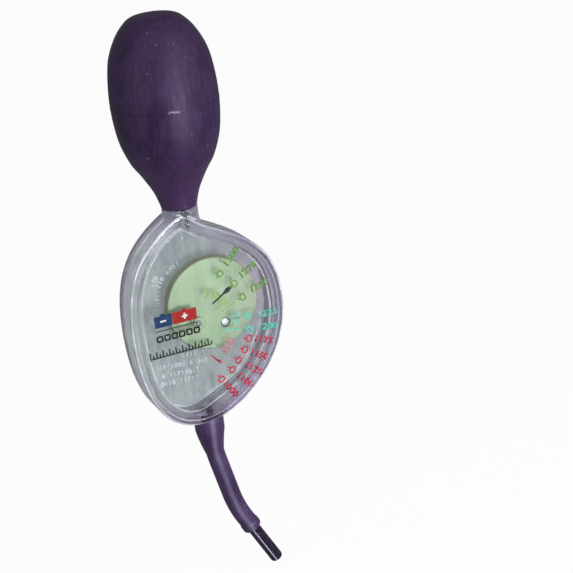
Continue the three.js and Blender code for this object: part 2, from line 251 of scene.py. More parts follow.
lit_matt = paint.node("ShaderNodeBsdfDiffuse", {}, {"Color": pure_white})
glow = paint.node("ShaderNodeEmission", {}, {"Color": pure_white, "Strength": 1})
shown = paint.node("ShaderNodeMixShader", {}, {0: floor_white_share, 1: lit_matt, 2: glow})
clear_way = rays.out("Is Transmission Ray")
other = paint.node("ShaderNodeMixShader", {}, {0: clear_way, 1: matt, 2: seen_through})
top = paint.node("ShaderNodeMixShader", {}, {0: rays.out("Is Camera Ray"), 1: other, 2: shown})
paint.node("ShaderNodeOutputMaterial", {}, {"Surface": top})
floor_mesh.materials.append(paint.owner)


def soft_lamp(name, place, width, height, power):
    """A rectangular lamp at a place, turned to face the pivot of the tool."""
    lamp = bpy.data.lights.new(name, "AREA")
    lamp.shape = "RECTANGLE"
    lamp.size = width
    lamp.size_y = height
    lamp.energy = power
    lamp.color = lamp_colour
    holder = bpy.data.objects.new(name, lamp)
    holder.location = place
    holder.rotation_mode = "QUATERNION"
    holder.rotation_quaternion = (-Vector(place)).to_track_quat("-Z", "Y")
    bpy.context.scene.collection.objects.link(holder)


for name, (place, width, height, power) in lamps.items():
    soft_lamp(name, place, width, height, power)


# Clear case
# Two injection-moulded halves of clear plastic, welded round their edge into a flat egg-shaped
# chamber for the float. The window lies below a raised rim, a flared neck and two barbed spigots
# take the rubber parts, and a straight ramp inside drains the acid to the foot.
shell_low, shell_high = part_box("front_shell")

# Reaches from the pivot axis in millimetres, walls and rim
case_left = -shell_low.x / mm
case_right = shell_high.x / mm
case_depth = -shell_low.y / mm
spigot_top = shell_high.z / mm
spigot_foot = shell_low.z / mm
case_rise = 48.0
case_drop = 45.2
middle = case_depth / 2
side_wall = 4.4
back_wall = 2.2
window_inside = 12.4
window_outside = 14.4
edge_round = 1.2
rim_width = 2.6
rim_round = 0.45
small_round = 0.2
corner_round = 1.0
weld_overlap = 0.01
parting_width = 0.16
parting_depth = 0.13

# Neck, spigots and socket
neck_rise = 2.3
neck_radius = 7.5
neck_collar = 3.0
neck_flare_width = 4.5
neck_flare_height = 7.2
neck_flat = 0.02
upper_spigot = 4.9
upper_bore = 2.6
lower_spigot = 2.7
lower_bore = 1.5
socket_radius = 6.3
socket_depth = 3.0
barb_height = 0.5
barb_length = 3.0
barb_gap = 0.7

# Drain ramp and pivot bosses
ramp_right = 17.0
ramp_right_lift = 13.8
ramp_left = 3.0
ramp_left_lift = 4.6
ramp_blend = 1.0
boss_radius = 2.7
boss_height = 1.2
pin_hole_radius = 1.1
pin_seat = 2.0

# Steps of the grids, and how far a cutter runs past what it cuts
overrun = 2.0
outline_steps = 72
crown_steps = 32
round_steps = 8
small_steps = 3
turned_sides = 96
cap_shares = (0.25, 0.5, 0.75, 1)
fold_slack = 0.02
loop_parts = 8

# How near two points are one, in metres, and how wide a loop is still a point, in millimetres
merge_distance = 1e-7
point_width = 1e-6

# The outline as shares of the four reaches: two handles and an end for each curve, clockwise
outline_start_share = (0.21, 0.88)
outline_shares = [
    [(0.74, 0.67), (1, 0.53), (1, 0.03)],
    [(1, -0.49), (0.42, -1), (-0.13, -1)],
    [(-0.66, -1), (-1, -0.67), (-1, 0.03)],
    [(-1, 0.57), (-0.71, 0.8), (-0.17, 1)],
    [(-0.03, 1.05), (0.09, 0.93), (0.21, 0.88)],
]


def outline_point(share):
    """A point of the front view from its shares of the four reaches of the case."""
    across, along = share
    return np.array([
        across * (case_right if across > 0 else case_left),
        along * (case_rise if along > 0 else case_drop),
    ])


def curve_points(corners, steps):
    """A cubic Bezier curve without its start: (1-t)^3 a + 3 (1-t)^2 t b + 3 (1-t) t^2 c + t^3 d."""
    a, b, c, d = corners
    t = np.arange(1, steps + 1)[:, None] / steps
    s = 1 - t
    return s ** 3 * a + 3 * s ** 2 * t * b + 3 * s * t ** 2 * c + t ** 3 * d


def case_outline():
    """The egg shape of the case, clockwise from its right shoulder, as rows of x and z."""
    start = outline_point(outline_start_share)
    runs = []
    for row in outline_shares:
        ends = [outline_point(share) for share in row]
        steps = crown_steps if row is outline_shares[-1] else outline_steps
        runs.append(curve_points([start, *ends], steps))
        start = ends[-1]
    return np.vstack(runs)


def moved_in(points, distance):
    """A clockwise outline moved inwards: each point goes at right angles to the chord between
    its two neighbours. Where that folds a tight curve over itself, and a point comes nearer to
    the outline than the distance, the loop runs straight across."""
    run = np.roll(points, -1, axis=0) - np.roll(points, 1, axis=0)
    run /= np.linalg.norm(run, axis=1)[:, None]
    moved = points + distance * np.stack([run[:, 1], -run[:, 0]], axis=1)
    nearest = np.linalg.norm(moved[:, None] - points[None], axis=2).min(axis=1)
    count = len(points)
    kept = np.flatnonzero(np.tile(nearest > distance - fold_slack, 3))
    places = np.arange(count, 2 * count)
    return np.stack([
        np.interp(places, kept, np.tile(moved[:, axis], 3)[kept]) for axis in range(2)
    ], axis=1)


def arc(centre, radius, start, end, steps):
    """Points of a round: centre + radius (cos a, sin a), a from start to end in degrees."""
    angle = np.radians(np.linspace(start, end, steps + 1))
    return [
        (centre[0] + radius * math.cos(a), centre[1] + radius * math.sin(a)) for a in angle
    ]


def lift_to_ramp(points, offset):
    """Raises what lies below the drain ramp onto it: z becomes the smooth larger of z and the
    height of the ramp, (z + r + sqrt((z - r)^2 + blend^2)) / 2."""
    slope = (ramp_right_lift - ramp_left_lift) / (ramp_right + ramp_left)
    ramp = ramp_right_lift - case_drop + slope * (points[:, 0] - ramp_right)
    ramp = ramp + offset * math.hypot(1, slope)
    height = points[:, 1]
    lifted = (height + ramp + np.sqrt((height - ramp) ** 2 + ramp_blend ** 2)) / 2
    return np.stack([points[:, 0], lifted], axis=1)


def as_object(name, points, faces):
    """A mesh object in metres from points in millimetres, merged and with its faces outwards."""
    mesh = bpy.data.meshes.new(name)
    mesh.from_pydata((np.asarray(points) * mm).tolist(), [], faces)
    shape = bmesh.new()
    shape.from_mesh(mesh)
    bmesh.ops.remove_doubles(shape, verts=shape.verts, dist=merge_distance)
    loose = [edge for edge in shape.edges if edge.is_wire]
    bmesh.ops.delete(shape, geom=loose, context="EDGES")
    bmesh.ops.recalc_face_normals(shape, faces=shape.faces)
    if shape.calc_volume(signed=True) < 0:
        bmesh.ops.reverse_faces(shape, faces=shape.faces)
    shape.to_mesh(mesh)
    shape.free()
    made = bpy.data.objects.new(name, mesh)
    bpy.context.scene.collection.objects.link(made)
    return made


def skin(name, grid, ring=False):
    """A closed skin over a grid of points: each row is a closed loop, neighbouring rows are
    joined by quads, and the first and last rows are closed by a face or meet as a ring."""
    rows, columns = grid.shape[:2]
    number = np.arange(rows * columns).reshape(rows, columns)
    if ring:
        number = np.vstack([number, number[:1]])
    after = np.roll(number, -1, axis=1)
    quads = np.stack([number[:-1], after[:-1], after[1:], number[1:]], axis=-1)
    faces = quads.reshape(-1, 4).tolist()
    ends = () if ring else (0, rows - 1)
    for row in ends:
        if np.ptp(grid[row], axis=0).max() > point_width:
            faces.append(number[row].tolist())
    return as_object(name, grid.reshape(-1, 3), faces)


def closing_loops(loop):
    """Copies of a loop drawn in steps onto its middle: p + share (middle - p)."""
    return [loop + share * (loop.mean(axis=0) - loop) for share in cap_shares]


def ring_stack(name, profile, ramp=False):
    """The outline carried through a profile of (distance inwards, depth) pairs, and closed at
    each end by its own loop."""
    rows = []
    for distance, depth in profile:
        points = moved_in(outline, distance)
        if ramp:
            points = lift_to_ramp(points, distance - side_wall)
        level = np.full(len(points), -depth)
        rows.append(np.stack([points[:, 0], level, points[:, 1]], axis=1))
    return skin(name, np.array([*closing_loops(rows[0])[::-1], *rows, *closing_loops(rows[-1])]))


def turned_upright(name, profile, ring=False):
    """A profile of (radius, height) pairs turned about the upright axis of the neck."""
    angle = np.linspace(0, 2 * np.pi, turned_sides, endpoint=False)
    radius, height = np.array(profile).T[:, :, None]
    grid = np.stack([
        radius * np.cos(angle),
        radius * np.sin(angle) - middle,
        height + 0 * angle,
    ], axis=-1)
    return skin(name, grid, ring)


def turned_across(name, profile, x=0.0, z=0.0):
    """A profile of (radius, depth) pairs turned about a line through x and z along the depth."""
    angle = np.linspace(0, 2 * np.pi, turned_sides, endpoint=False)
    radius, depth = np.array(profile).T[:, :, None]
    grid = np.stack([
        x + radius * np.cos(angle),
        -depth + 0 * angle,
        z + radius * np.sin(angle),
    ], axis=-1)
    return skin(name, grid)


def bar(name, radius, start, end, x=0.0, z=0.0):
    """A straight round bar between two depths."""
    return turned_across(name, [(0, start), (radius, start), (radius, end), (0, end)], x, z)


def slab(name, start, end):
    """A block over the whole case between two depths."""
    left = -case_left - overrun
    right = case_right + overrun
    low = spigot_foot - overrun
    high = spigot_top + overrun
    loop = [(left, low), (right, low), (right, high), (left, high)]
    grid = np.array([[(x, -depth, z) for x, z in loop] for depth in (start, end)])
    return skin(name, grid)


def carved(name, body, steps):
    """The body joined with, cut by or kept inside other solids in turn, as one new mesh. The
    solids that were used are taken away."""
    for operation, tool in steps:
        change = body.modifiers.new("change", "BOOLEAN")
        change.operation = operation
        change.solver = "MANIFOLD"
        change.object = tool
    ready = bpy.context.evaluated_depsgraph_get()
    mesh = bpy.data.meshes.new_from_object(body.evaluated_get(ready))
    mesh.name = name
    for used in {body, *(tool for _, tool in steps)}:
        bpy.data.objects.remove(used)
    made = bpy.data.objects.new(name, mesh)
    bpy.context.scene.collection.objects.link(made)
    return made


def smoothed(piece, sharp=28.0):
    """Shades a piece smooth between its sharp edges, with large flat faces leading."""
    piece.data.shade_smooth()
    piece.data.set_sharp_from_angle(angle=math.radians(sharp))
    even = piece.modifiers.new("even shading", "WEIGHTED_NORMAL")
    even.keep_sharp = True
    return piece


def spigot_profile(radius, root, tip):
    """Saw-tooth barbs between a root and a free end, as (radius, height) pairs."""
    way = math.copysign(1, tip - root)
    barb = radius + barb_height
    first = tip - way * barb_length
    second = first - way * (barb_gap + barb_length)
    return [
        (0, root), (radius, root), (radius, second), (barb, second),
        (radius, first - way * barb_gap), (radius, first), (barb, first),
        (radius - barb_height, tip), (0, tip),
    ]


def neck_profile():
    """A quarter-round flare, then a straight collar with a small round at its top."""
    collar_foot = case_rise + neck_rise - neck_collar
    flare_foot = collar_foot - neck_flare_height
    t = np.linspace(0, 1, 2 * round_steps + 1)
    wide = neck_radius + neck_flare_width
    radius = (1 - t) ** 2 * wide + (1 - (1 - t) ** 2) * neck_radius
    height = (1 - t ** 2) * flare_foot + t ** 2 * collar_foot
    top = case_rise + neck_rise
    edge = arc((neck_radius - small_round, top - small_round), small_round, 0, 90, small_steps)
    return [(0, flare_foot), *zip(radius, height), *edge, (0, top)]


outline = case_outline()
near = edge_round
far = case_depth - edge_round
blank_profile = [
    *arc((near, near), edge_round, 270, 180, round_steps),
    (0, middle - parting_width),
    (parting_depth, middle),
    (0, middle + parting_width),
    *arc((near, far), edge_round, 180, 90, round_steps),
]
recess_profile = [
    (rim_width + small_round, window_outside),
    *arc((rim_width - rim_round, case_depth - rim_round), rim_round, 0, 90, round_steps),
    (rim_width - rim_round, case_depth + overrun),
]
corner = side_wall + corner_round
chamber_profile = [
    *arc((corner, back_wall + corner_round), corner_round, 270, 180, round_steps),
    *arc((corner, window_inside - corner_round), corner_round, 180, 90, round_steps),
]
neck_top = case_rise + neck_rise
root_overlap = socket_depth + overrun


def whole_case(name):
    """The case before it is split: plate, neck, window recess, cuff socket and spigots."""
    collar = carved("collar", turned_upright("collar turning", neck_profile()), [
        ("INTERSECT", slab("neck flats", neck_flat, case_depth - neck_flat)),
    ])
    socket = [
        (0, -case_drop - overrun),
        (socket_radius, -case_drop - overrun),
        (socket_radius, socket_depth - case_drop),
        (0, socket_depth - case_drop),
    ]
    upper = spigot_profile(upper_spigot, neck_top - neck_collar, spigot_top)
    lower = spigot_profile(lower_spigot, root_overlap - case_drop, spigot_foot)
    return carved(name, ring_stack("plate", blank_profile), [
        ("UNION", collar),
        ("DIFFERENCE", ring_stack("recess", recess_profile)),
        ("DIFFERENCE", turned_upright("cuff socket", socket)),
        ("UNION", turned_upright("upper spigot", upper)),
        ("UNION", turned_upright("lower spigot", lower)),
    ])


def bore(name, radius, low, high):
    """An upright round bar that cuts a bore."""
    return turned_upright(name, [(0, low), (radius, low), (radius, high), (0, high)])


def half_case(name, start, end, boss_start, boss_end, hole_start, hole_end):
    """One half of the case: what lies between two depths, hollowed, with its pivot boss."""
    upper = bore("upper bore", upper_bore, case_rise - side_wall - overrun, spigot_top + overrun)
    lower_end = ramp_left_lift - case_drop + 2 * overrun
    lower = bore("lower bore", lower_bore, spigot_foot - overrun, lower_end)
    return smoothed(carved(name, whole_case("whole case"), [
        ("INTERSECT", slab("half", start, end)),
        ("DIFFERENCE", ring_stack("chamber", chamber_profile, ramp=True)),
        ("DIFFERENCE", upper),
        ("DIFFERENCE", lower),
        ("UNION", bar("boss", boss_radius, boss_start, boss_end)),
        ("DIFFERENCE", bar("pin hole", pin_hole_radius, hole_start, hole_end)),
    ]))


def vertex_places(mesh):
    """The places of a mesh's vertices in millimetres, one row each."""
    places = np.zeros(len(mesh.vertices) * 3, np.float32)
    mesh.vertices.foreach_get("co", places)
    return places.reshape(-1, 3) / mm


def keep_numbers(piece, name, numbers):
    """Keeps one number for each vertex of a piece, which its material reads by this name."""
    kept = piece.data.attributes.new(name, "FLOAT", "POINT")
    kept.data.foreach_set("value", numbers.astype(np.float32))


def measure_gaps(piece):
    """Keeps for each vertex its distances in millimetres from the outline of the case and from
    the wall of the chamber, both seen from the front."""
    flat = vertex_places(piece.data)[:, [0, 2]]
    wall = lift_to_ramp(moved_in(outline, side_wall), 0)
    for name, loop in (("inset", outline), ("wall_gap", wall)):
        nearest = np.full(len(flat), np.inf)
        for part in np.array_split(loop, loop_parts):
            gap = np.linalg.norm(flat[:, None] - part[None], axis=2).min(axis=1)
            nearest = np.minimum(nearest, gap)
        keep_numbers(piece, name, nearest)


# Noise goes from 0 to 1 and mostly stays between these
noise_span = (0.3, 0.7)


def noise(paint, place, scale, detail=2.0, rough=0.5):
    """Cloudy noise with so many patches to the metre, its detail and how rough the detail is."""
    sockets = {"Vector": place, "Scale": scale, "Detail": detail, "Roughness": rough}
    return paint.node("ShaderNodeTexNoise", {}, sockets)


def seen(red, green, blue):
    """A colour as it shows on a screen, each part from 0 to 255, as linear light by the usual
    curve of screens."""
    part = np.array([red, green, blue]) / 255
    linear = np.where(part <= 0.04045, part / 12.92, ((part + 0.055) / 1.055) ** 2.4)
    return (*linear.tolist(), 1.0)


# Colours of the plastic, by region
window_tint = (0.89, 0.94, 0.92, 1)
cloud_tint = (0.5, 0.51, 0.56, 1)
warm_tint = (0.84, 0.78, 0.84, 1)
rim_tint = (0.84, 0.82, 0.92, 1)
left_rim_tint = (0.91, 0.95, 0.92, 1)
# Painted shade: the dark lines along the rim and along the chamber's wall
painted_rim_shade_tint = (0.27, 0.2, 0.37, 1)
# Painted refraction of the rubber cuff, purple near the foot
painted_cuff_tint = (0.4, 0.24, 0.46, 1)
# Painted shade along the far edge of the rim
far_edge_shade_tint = (0.36, 0.3, 0.42, 1)
# Painted refraction of the dark rubber at both ends
painted_rubber_tint = (0.22, 0.12, 0.28, 1)
haze_tint = (0.8, 0.82, 0.84, 1)
# Painted highlight: the pale colour of the lines along the rounds
painted_highlight_tint = (0.96, 0.97, 1, 1)
depth_tint = (0.4, 0.34, 0.47, 1)
shadow_tint = (0.95, 0.95, 0.96, 1)
plastic_index = 1.49
deep_crossings = 6

# Regions in metres: where each begins and where it is full, or how far it reaches from a place
warm_side = (0.006, 0.034)
left_side = (-0.022, -0.006)
low_left_side = (-0.055, -0.03)
ramp_side = (0.03, 0.045)
foot_place = (0, -middle * mm, -case_drop * mm)
foot_tone_reach = (0.008, 0.034)
foot_dark_reach = (0.0055, 0.0115)
neck_place = (0, -middle * mm, neck_top * mm)
neck_dark_reach = (0.006, 0.015)
shade_place = (0.018, -middle * mm, 0.037)
shade_reach = (0.01, 0.023)

# Bands in millimetres, inwards from the outline, from the chamber's wall or in depth: where
# each begins and ends, and how soft its ends are
# Painted shade bands: along the chamber's wall, on the right rim and low on the left
wall_shade_band = (3.2, 4.3, 0.35)
right_rim_band = (1.0, 2.3, 0.3)
low_left_band = (2.9, 3.4, 0.15)
rim_line_band = (0.3, 0.85, 0.15)
recess_line_band = (rim_width - 0.35, rim_width, 0.1)
recess_round_band = (rim_width - rim_round, rim_width, 0.1)
back_line_band = (0.12, 0.95, 0.1)
back_round_depths = (back_wall + 0.1, back_wall + corner_round, 0.05)
front_line_band = (1.1, 1.8, 0.2)
ramp_line_bands = ((0.1, 0.5, 0.1), (1.0, 1.4, 0.1))
ramp_line_depths = (back_wall - 0.2, back_wall + corner_round, 0.05)

# Fades in millimetres, where each begins and ends, and how near a face a line of light lies
far_edge_insets = (0.1, 0.5)
far_edge_depths = (2.5, 5)
rim_tone_insets = (2.4, 4.6)
front_line_insets = (5, 5.4)
face_margin = 0.1

# How fast the pattern of the painted shade lines runs inwards and along the rim
shade_line_inwards = 2.4
shade_line_along = 0.12

# Patterns of noise, the span of noise over which each sets in, and how tall clouds are drawn
cloud_noise = (240, 6, 0.7)
cloud_span = (0.4, 0.62)
cloud_squeeze = 0.25
shade_line_noise = (420, 3, 0.6)
shade_line_span = (0.42, 0.62)
patch_noise = (120, 2)
patch_span = (0.35, 0.6)
patch_light = (0.45, 1)
smear_noise = (90, 4, 0.6)
smear_span = (0.5, 0.75)
smear_roughness = (0.015, 0.07)
recess_roughness = 0.3

# How strongly each tone, streak, line of light and shade shows
neck_share = 0.3
shade_line_share = 0.45
wall_shade_share = 0.6
left_streak_share = 0.5
right_rim_share = 0.75
low_left_share = 0.8
foot_tone_share = 0.7
recess_light_share = 0.5
front_light_share = 0.75
shoulder_shade_share = 0.8
end_shade_share = 0.7
painted_highlight_share = 0.88
far_edge_share = 0.45


def band(paint, value, low, high, soft):
    """1 between two values and 0 outside them, with soft ends."""
    rise = between(paint, value, low - soft, low + soft)
    return rise * between(paint, value, high - soft, high + soft, 1, 0)


def near_to(paint, place, centre, full, none):
    """1 within one distance of a centre and 0 beyond another."""
    gap = paint.node("ShaderNodeVectorMath", {"operation": "DISTANCE"}, {0: place, 1: centre})
    return between(paint, gap.out("Value"), full, none, 1, 0)


def new_finish(name):
    """An empty material, and the place of each point on its piece."""
    paint = Paint(bpy.data.materials.new(name))
    return paint, paint.node("ShaderNodeTexCoord").out("Object")


def vertex_number(paint, name):
    """A number that is kept for each vertex."""
    return paint.node("ShaderNodeAttribute", {"attribute_name": name}).out("Fac")


def parts_of(paint, place):
    """A place taken apart into X, Y and Z."""
    return paint.node("ShaderNodeSeparateXYZ", {}, {"Vector": place})


def drawn_tall(paint, place, share):
    """Places squeezed in their height, so that a pattern there runs upright."""
    return paint.node("ShaderNodeMapping", {}, {"Vector": place, "Scale": (1, 1, share)})


def case_regions(paint, place):
    """What the case's tones and lines go by: x, z, the depth from the back, the two kept gaps,
    and shares from 0 to 1 for its regions."""
    axes = parts_of(paint, place)
    x, z = axes.out("X"), axes.out("Z")
    depth = axes.out("Y") * (-1 / mm)
    inset = vertex_number(paint, "inset")
    at_edge = between(paint, inset, *far_edge_insets, 1, 0)
    at_neck = near_to(paint, place, neck_place, *neck_dark_reach) * neck_share
    return {
        "x": x,
        "z": z,
        "depth": depth,
        "inset": inset,
        "wall_gap": vertex_number(paint, "wall_gap"),
        "warm": between(paint, x, *warm_side),
        "left": between(paint, x, *left_side, 1, 0),
        "low left": between(paint, x + z, *low_left_side, 1, 0),
        "ramp": between(paint, x - z, *ramp_side),
        "far edge": at_edge * between(paint, depth, *far_edge_depths, 1, 0),
        "ends": near_to(paint, place, foot_place, *foot_dark_reach).maths("MAXIMUM", at_neck),
    }


def case_tint(paint, place, at, cloud_share):
    """The colour of the plastic. The window is clouded and turns warmer to the right. The rim is
    lilac and greener on the left. Painted shade draws dark lines along the rim, most of all on the
    right, a dark band along the chamber's wall and a dark far edge. Painted refraction of the
    rubber turns the rim purple near the foot and darkens both ends."""
    inset, warm = at["inset"], at["warm"]
    tall = drawn_tall(paint, place, cloud_squeeze)
    clouds = between(paint, noise(paint, tall, *cloud_noise), *cloud_span)
    window = mixed(paint, clouds * cloud_share, window_tint, cloud_tint)
    window = mixed(paint, warm, window, warm_tint)
    along = paint.node("ShaderNodeCombineXYZ", {}, {
        "X": inset * (shade_line_inwards * mm), "Y": at["x"] * shade_line_along, "Z": at["z"] * shade_line_along,
    })
    dark_lines = between(paint, noise(paint, along, *shade_line_noise), *shade_line_span) * shade_line_share
    wall_shade = band(paint, inset, *wall_shade_band) * wall_shade_share
    streaks = (dark_lines + wall_shade) * (warm * (1 - left_streak_share) + left_streak_share)
    right_line = band(paint, inset, *right_rim_band) * warm
    low_left_line = band(paint, inset, *low_left_band) * at["low left"]
    streaks = streaks + right_line * right_rim_share + low_left_line * low_left_share
    near_foot = near_to(paint, place, foot_place, *foot_tone_reach) * foot_tone_share
    rim = mixed(paint, at["left"], rim_tint, left_rim_tint)
    rim = mixed(paint, near_foot, rim, painted_cuff_tint)
    rim = mixed(paint, streaks, rim, painted_rim_shade_tint)
    tint = mixed(paint, between(paint, inset, *rim_tone_insets, 1, 0), window, rim)
    tint = mixed(paint, at["far edge"], tint, far_edge_shade_tint)
    return mixed(paint, at["ends"], tint, painted_rubber_tint)


def painted_highlight_lines(paint, place, at):
    """Painted highlights: pale lines on the rounds, where they would catch the light: along the
    rim, round the window's recess, along the chamber's wall behind and in front, and twice along
    the drain ramp. They fade in patches, under the shaded shoulder and towards both ends."""
    depth, inset, wall_gap = at["depth"], at["inset"], at["wall_gap"]
    rim_line = band(paint, inset, *rim_line_band) * (depth > case_depth - edge_round)
    recess_line = band(paint, inset, *recess_line_band) * (depth > window_outside + face_margin)
    back_line = band(paint, wall_gap, *back_line_band) * band(paint, depth, *back_round_depths)
    front_line = band(paint, wall_gap, *front_line_band) * (depth > window_inside - face_margin)
    front_line = front_line * between(paint, inset, *front_line_insets)
    painted_lines = rim_line + recess_line * recess_light_share + back_line
    painted_lines = painted_lines + front_line * front_light_share
    patches = between(paint, noise(paint, place, *patch_noise), *patch_span, *patch_light)
    first, second = (band(paint, wall_gap, *ends) for ends in ramp_line_bands)
    ramp_lines = (first + second) * band(paint, depth, *ramp_line_depths) * at["ramp"]
    painted_lines = (painted_lines * patches).maths("MAXIMUM", ramp_lines)
    shaded = near_to(paint, place, shade_place, *shade_reach) * shoulder_shade_share
    return painted_lines * (1 - shaded) * (1 - at["ends"] * end_shade_share)


def clear_plastic(name, haze_share, cloud_share):
    """Clear plastic with faint smears and a little haze that takes shadows. Pale lines of painted
    highlight on its rounds and painted shade on its far edge go into the haze, and the recess round
    by the ramp is rubbed dull. Light that has crossed the plastic many times comes out as an even
    lilac, and light for what lies inside goes straight through it."""
    paint, place = new_finish(name)
    at = case_regions(paint, place)
    painted_lines = painted_highlight_lines(paint, place, at)
    smears = between(paint, noise(paint, place, *smear_noise), *smear_span, *smear_roughness)
    rubbed_and_highlight = band(paint, at["inset"], *recess_round_band) * (at["depth"] > window_outside)
    plastic = paint.node("ShaderNodeBsdfPrincipled", {}, {
        "Base Color": case_tint(paint, place, at, cloud_share),
        "Roughness": smears + rubbed_and_highlight * at["ramp"] * recess_roughness,
        "IOR": plastic_index,
        "Transmission Weight": 1.0,
    })
    rays = paint.node("ShaderNodeLightPath")
    deep = rays.out("Ray Depth") > deep_crossings
    haze_tone = mixed(paint, at["far edge"], haze_tint, depth_tint)
    haze_tone = mixed(paint, painted_lines, haze_tone, painted_highlight_tint)
    haze = paint.node("ShaderNodeBsdfPrincipled", {}, {
        "Base Color": mixed(paint, deep, haze_tone, depth_tint),
        "Roughness": 1.0,
        "Specular IOR Level": 0.0,
    })
    share = deep.maths("MAXIMUM", painted_lines * painted_highlight_share)
    share = share.maths("MAXIMUM", at["far edge"] * far_edge_share).maths("MAXIMUM", haze_share)
    hazed = paint.node("ShaderNodeMixShader", {}, {0: share, 1: plastic, 2: haze})
    through = paint.node("ShaderNodeBsdfTransparent", {}, {"Color": shadow_tint})
    unseen = rays.out("Is Shadow Ray").maths("MAXIMUM", rays.out("Is Diffuse Ray"))
    both = paint.node("ShaderNodeMixShader", {}, {0: unseen, 1: hazed, 2: through})
    paint.node("ShaderNodeOutputMaterial", {}, {"Surface": both})
    return paint.owner


def fitted(piece, material, body, slot, *nodes):
    """Gives a piece its material and body, and hides the solids that it stands for. The slot is not
    used.
    """
    piece.data.materials.clear()
    piece.data.materials.append(material)
    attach(piece, body)
    if nodes:
        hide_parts(*nodes)
    return piece


front_boss_face = window_inside - boss_height
rear_boss_face = back_wall + boss_height
front_half = half_case(
    "clear_front_half", middle - weld_overlap, case_depth + overrun,
    front_boss_face, window_inside + boss_height,
    front_boss_face - overrun, front_boss_face + pin_seat,
)
rear_half = half_case(
    "clear_rear_half", -overrun, middle + weld_overlap,
    back_wall - boss_height, rear_boss_face,
    rear_boss_face - pin_seat, rear_boss_face + overrun,
)
halves = (
    (front_half, "front_shell", {"haze_share": 0.012, "cloud_share": 0.25}),
    (rear_half, "rear_shell", {"haze_share": 0.2, "cloud_share": 1.0}),
)
for half, node, shares in halves:
    measure_gaps(half)
    plastic = clear_plastic(half.name + " plastic", **shares)
    fitted(half, plastic, "case", "clear_case", node)


# Pivot pin
# A plain ground steel pin, pressed between the bosses of the two halves before they are welded.
# The float turns on it.
pin_low, pin_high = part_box("pivot_pin")
pin_radius = pin_high.x / mm
pin_start = -pin_high.y / mm
pin_end = -pin_low.y / mm
pin_chamfer = 0.2
pin_ring = 0.2

# Finish of turned steel: colours, pattern of noise, how strongly it shows, and the rings' relief
pin_roughness = 0.5
pin_bright = seen(150, 158, 158)
pin_dull = seen(120, 128, 126)
# Painted shade along the rim of the steel, next to the hole round it
steel_edge_shade = seen(62, 68, 78)
steel_edge_shares = (0.78, 0.96)
steel_edge_share = 0.8
steel_noise = (700, 3)
steel_stain_span = (0.4, 0.7)
steel_stain_roughness = 0.15
steel_relief = (0.25, 0.01)


def flattened(paint, place):
    """Places moved along their depth onto one plane."""
    return paint.node("ShaderNodeVectorMath", {"operation": "MULTIPLY"}, {0: place, 1: (1, 0, 1)})


def relief(paint, height, strength, distance):
    """Bumps of this height, at this strength and this many millimetres high."""
    sockets = {"Height": height, "Strength": strength, "Distance": distance * mm}
    return paint.node("ShaderNodeBump", {}, sockets)


def finished(paint, sockets):
    """The material, ended with one surface that has these sockets."""
    surface = paint.node("ShaderNodeBsdfPrincipled", {}, sockets)
    paint.node("ShaderNodeOutputMaterial", {}, {"Surface": surface})
    return paint.owner


def steel(name, centre, radius, ring_width, bright, dull, roughness):
    """Steel with stains, the fine rings that turning leaves round a centre, and painted shade at
    its edge.
    """
    paint, place = new_finish(name)
    moved = paint.node("ShaderNodeMapping", {}, {"Vector": place, "Location": -centre * mm})
    flat = flattened(paint, moved)
    reach = paint.node("ShaderNodeVectorMath", {"operation": "LENGTH"}, {0: flat}).out("Value")
    rings = (reach * (2 * math.pi / (ring_width * mm))).maths("SINE")
    stain = noise(paint, place, *steel_noise)
    edge = between(paint, reach, *(share * radius * mm for share in steel_edge_shares))
    tone = mixed(paint, between(paint, stain, *steel_stain_span), bright, dull)
    duller = roughness + steel_stain_roughness
    return finished(paint, {
        "Base Color": mixed(paint, edge * steel_edge_share, tone, steel_edge_shade),
        "Roughness": between(paint, stain, *noise_span, roughness, duller),
        "Metallic": 1.0,
        "Normal": relief(paint, rings, *steel_relief),
    })


pin = smoothed(turned_across("steel_pivot_pin", [
    (0, pin_start),
    (pin_radius - pin_chamfer, pin_start),
    (pin_radius, pin_start + pin_chamfer),
    (pin_radius, pin_end - pin_chamfer),
    (pin_radius - pin_chamfer, pin_end),
    (0, pin_end),
]))
pin_steel = steel(
    "pin steel", Vector((0, 0, 0)), pin_radius, pin_ring, pin_bright, pin_dull, pin_roughness,
)
fitted(pin, pin_steel, "case", "steel", "pivot_pin")


# Dial float
# A round disc of pale green plastic that hangs off its centre on the pin, with a hub standing
# proud of both faces. It has one drilled hole, for the weight, and a printed arrow on its front.
disc_turn = math.radians(38)
disc_offset = 10.1
disc_radius = 20.4
disc_round = 0.5
disc_back = 5.0
disc_front = 9.6
hub_radius = 3.2
hub_step = 1.3
weight_offset = 10.8
weight_turn = math.radians(-103)
weight_radius = 1.9
weight_fit = 0.3
disc_x = disc_offset * math.cos(disc_turn)
disc_z = disc_offset * math.sin(disc_turn)
weight_x = disc_x + weight_offset * math.cos(disc_turn + weight_turn)
weight_z = disc_z + weight_offset * math.sin(disc_turn + weight_turn)

# Finish of the disc: colours, patterns of noise, how strongly they show, and relief
disc_green = seen(176, 201, 158)
disc_pale = seen(190, 211, 170)
disc_stain = seen(168, 190, 140)
# Painted shade on the disc's side
disc_side_shade = seen(150, 152, 112)
disc_side_widths = (0.5, 0.1)
disc_cloud_noise = (70, 3)
disc_grain_noise = (1500, 2)
disc_stain_noise = (160, 4, 0.6)
disc_stain_span = (0.55, 0.75)
disc_stain_share = 0.4
disc_roughness = (0.42, 0.56)
disc_relief = (0.2, 0.03)


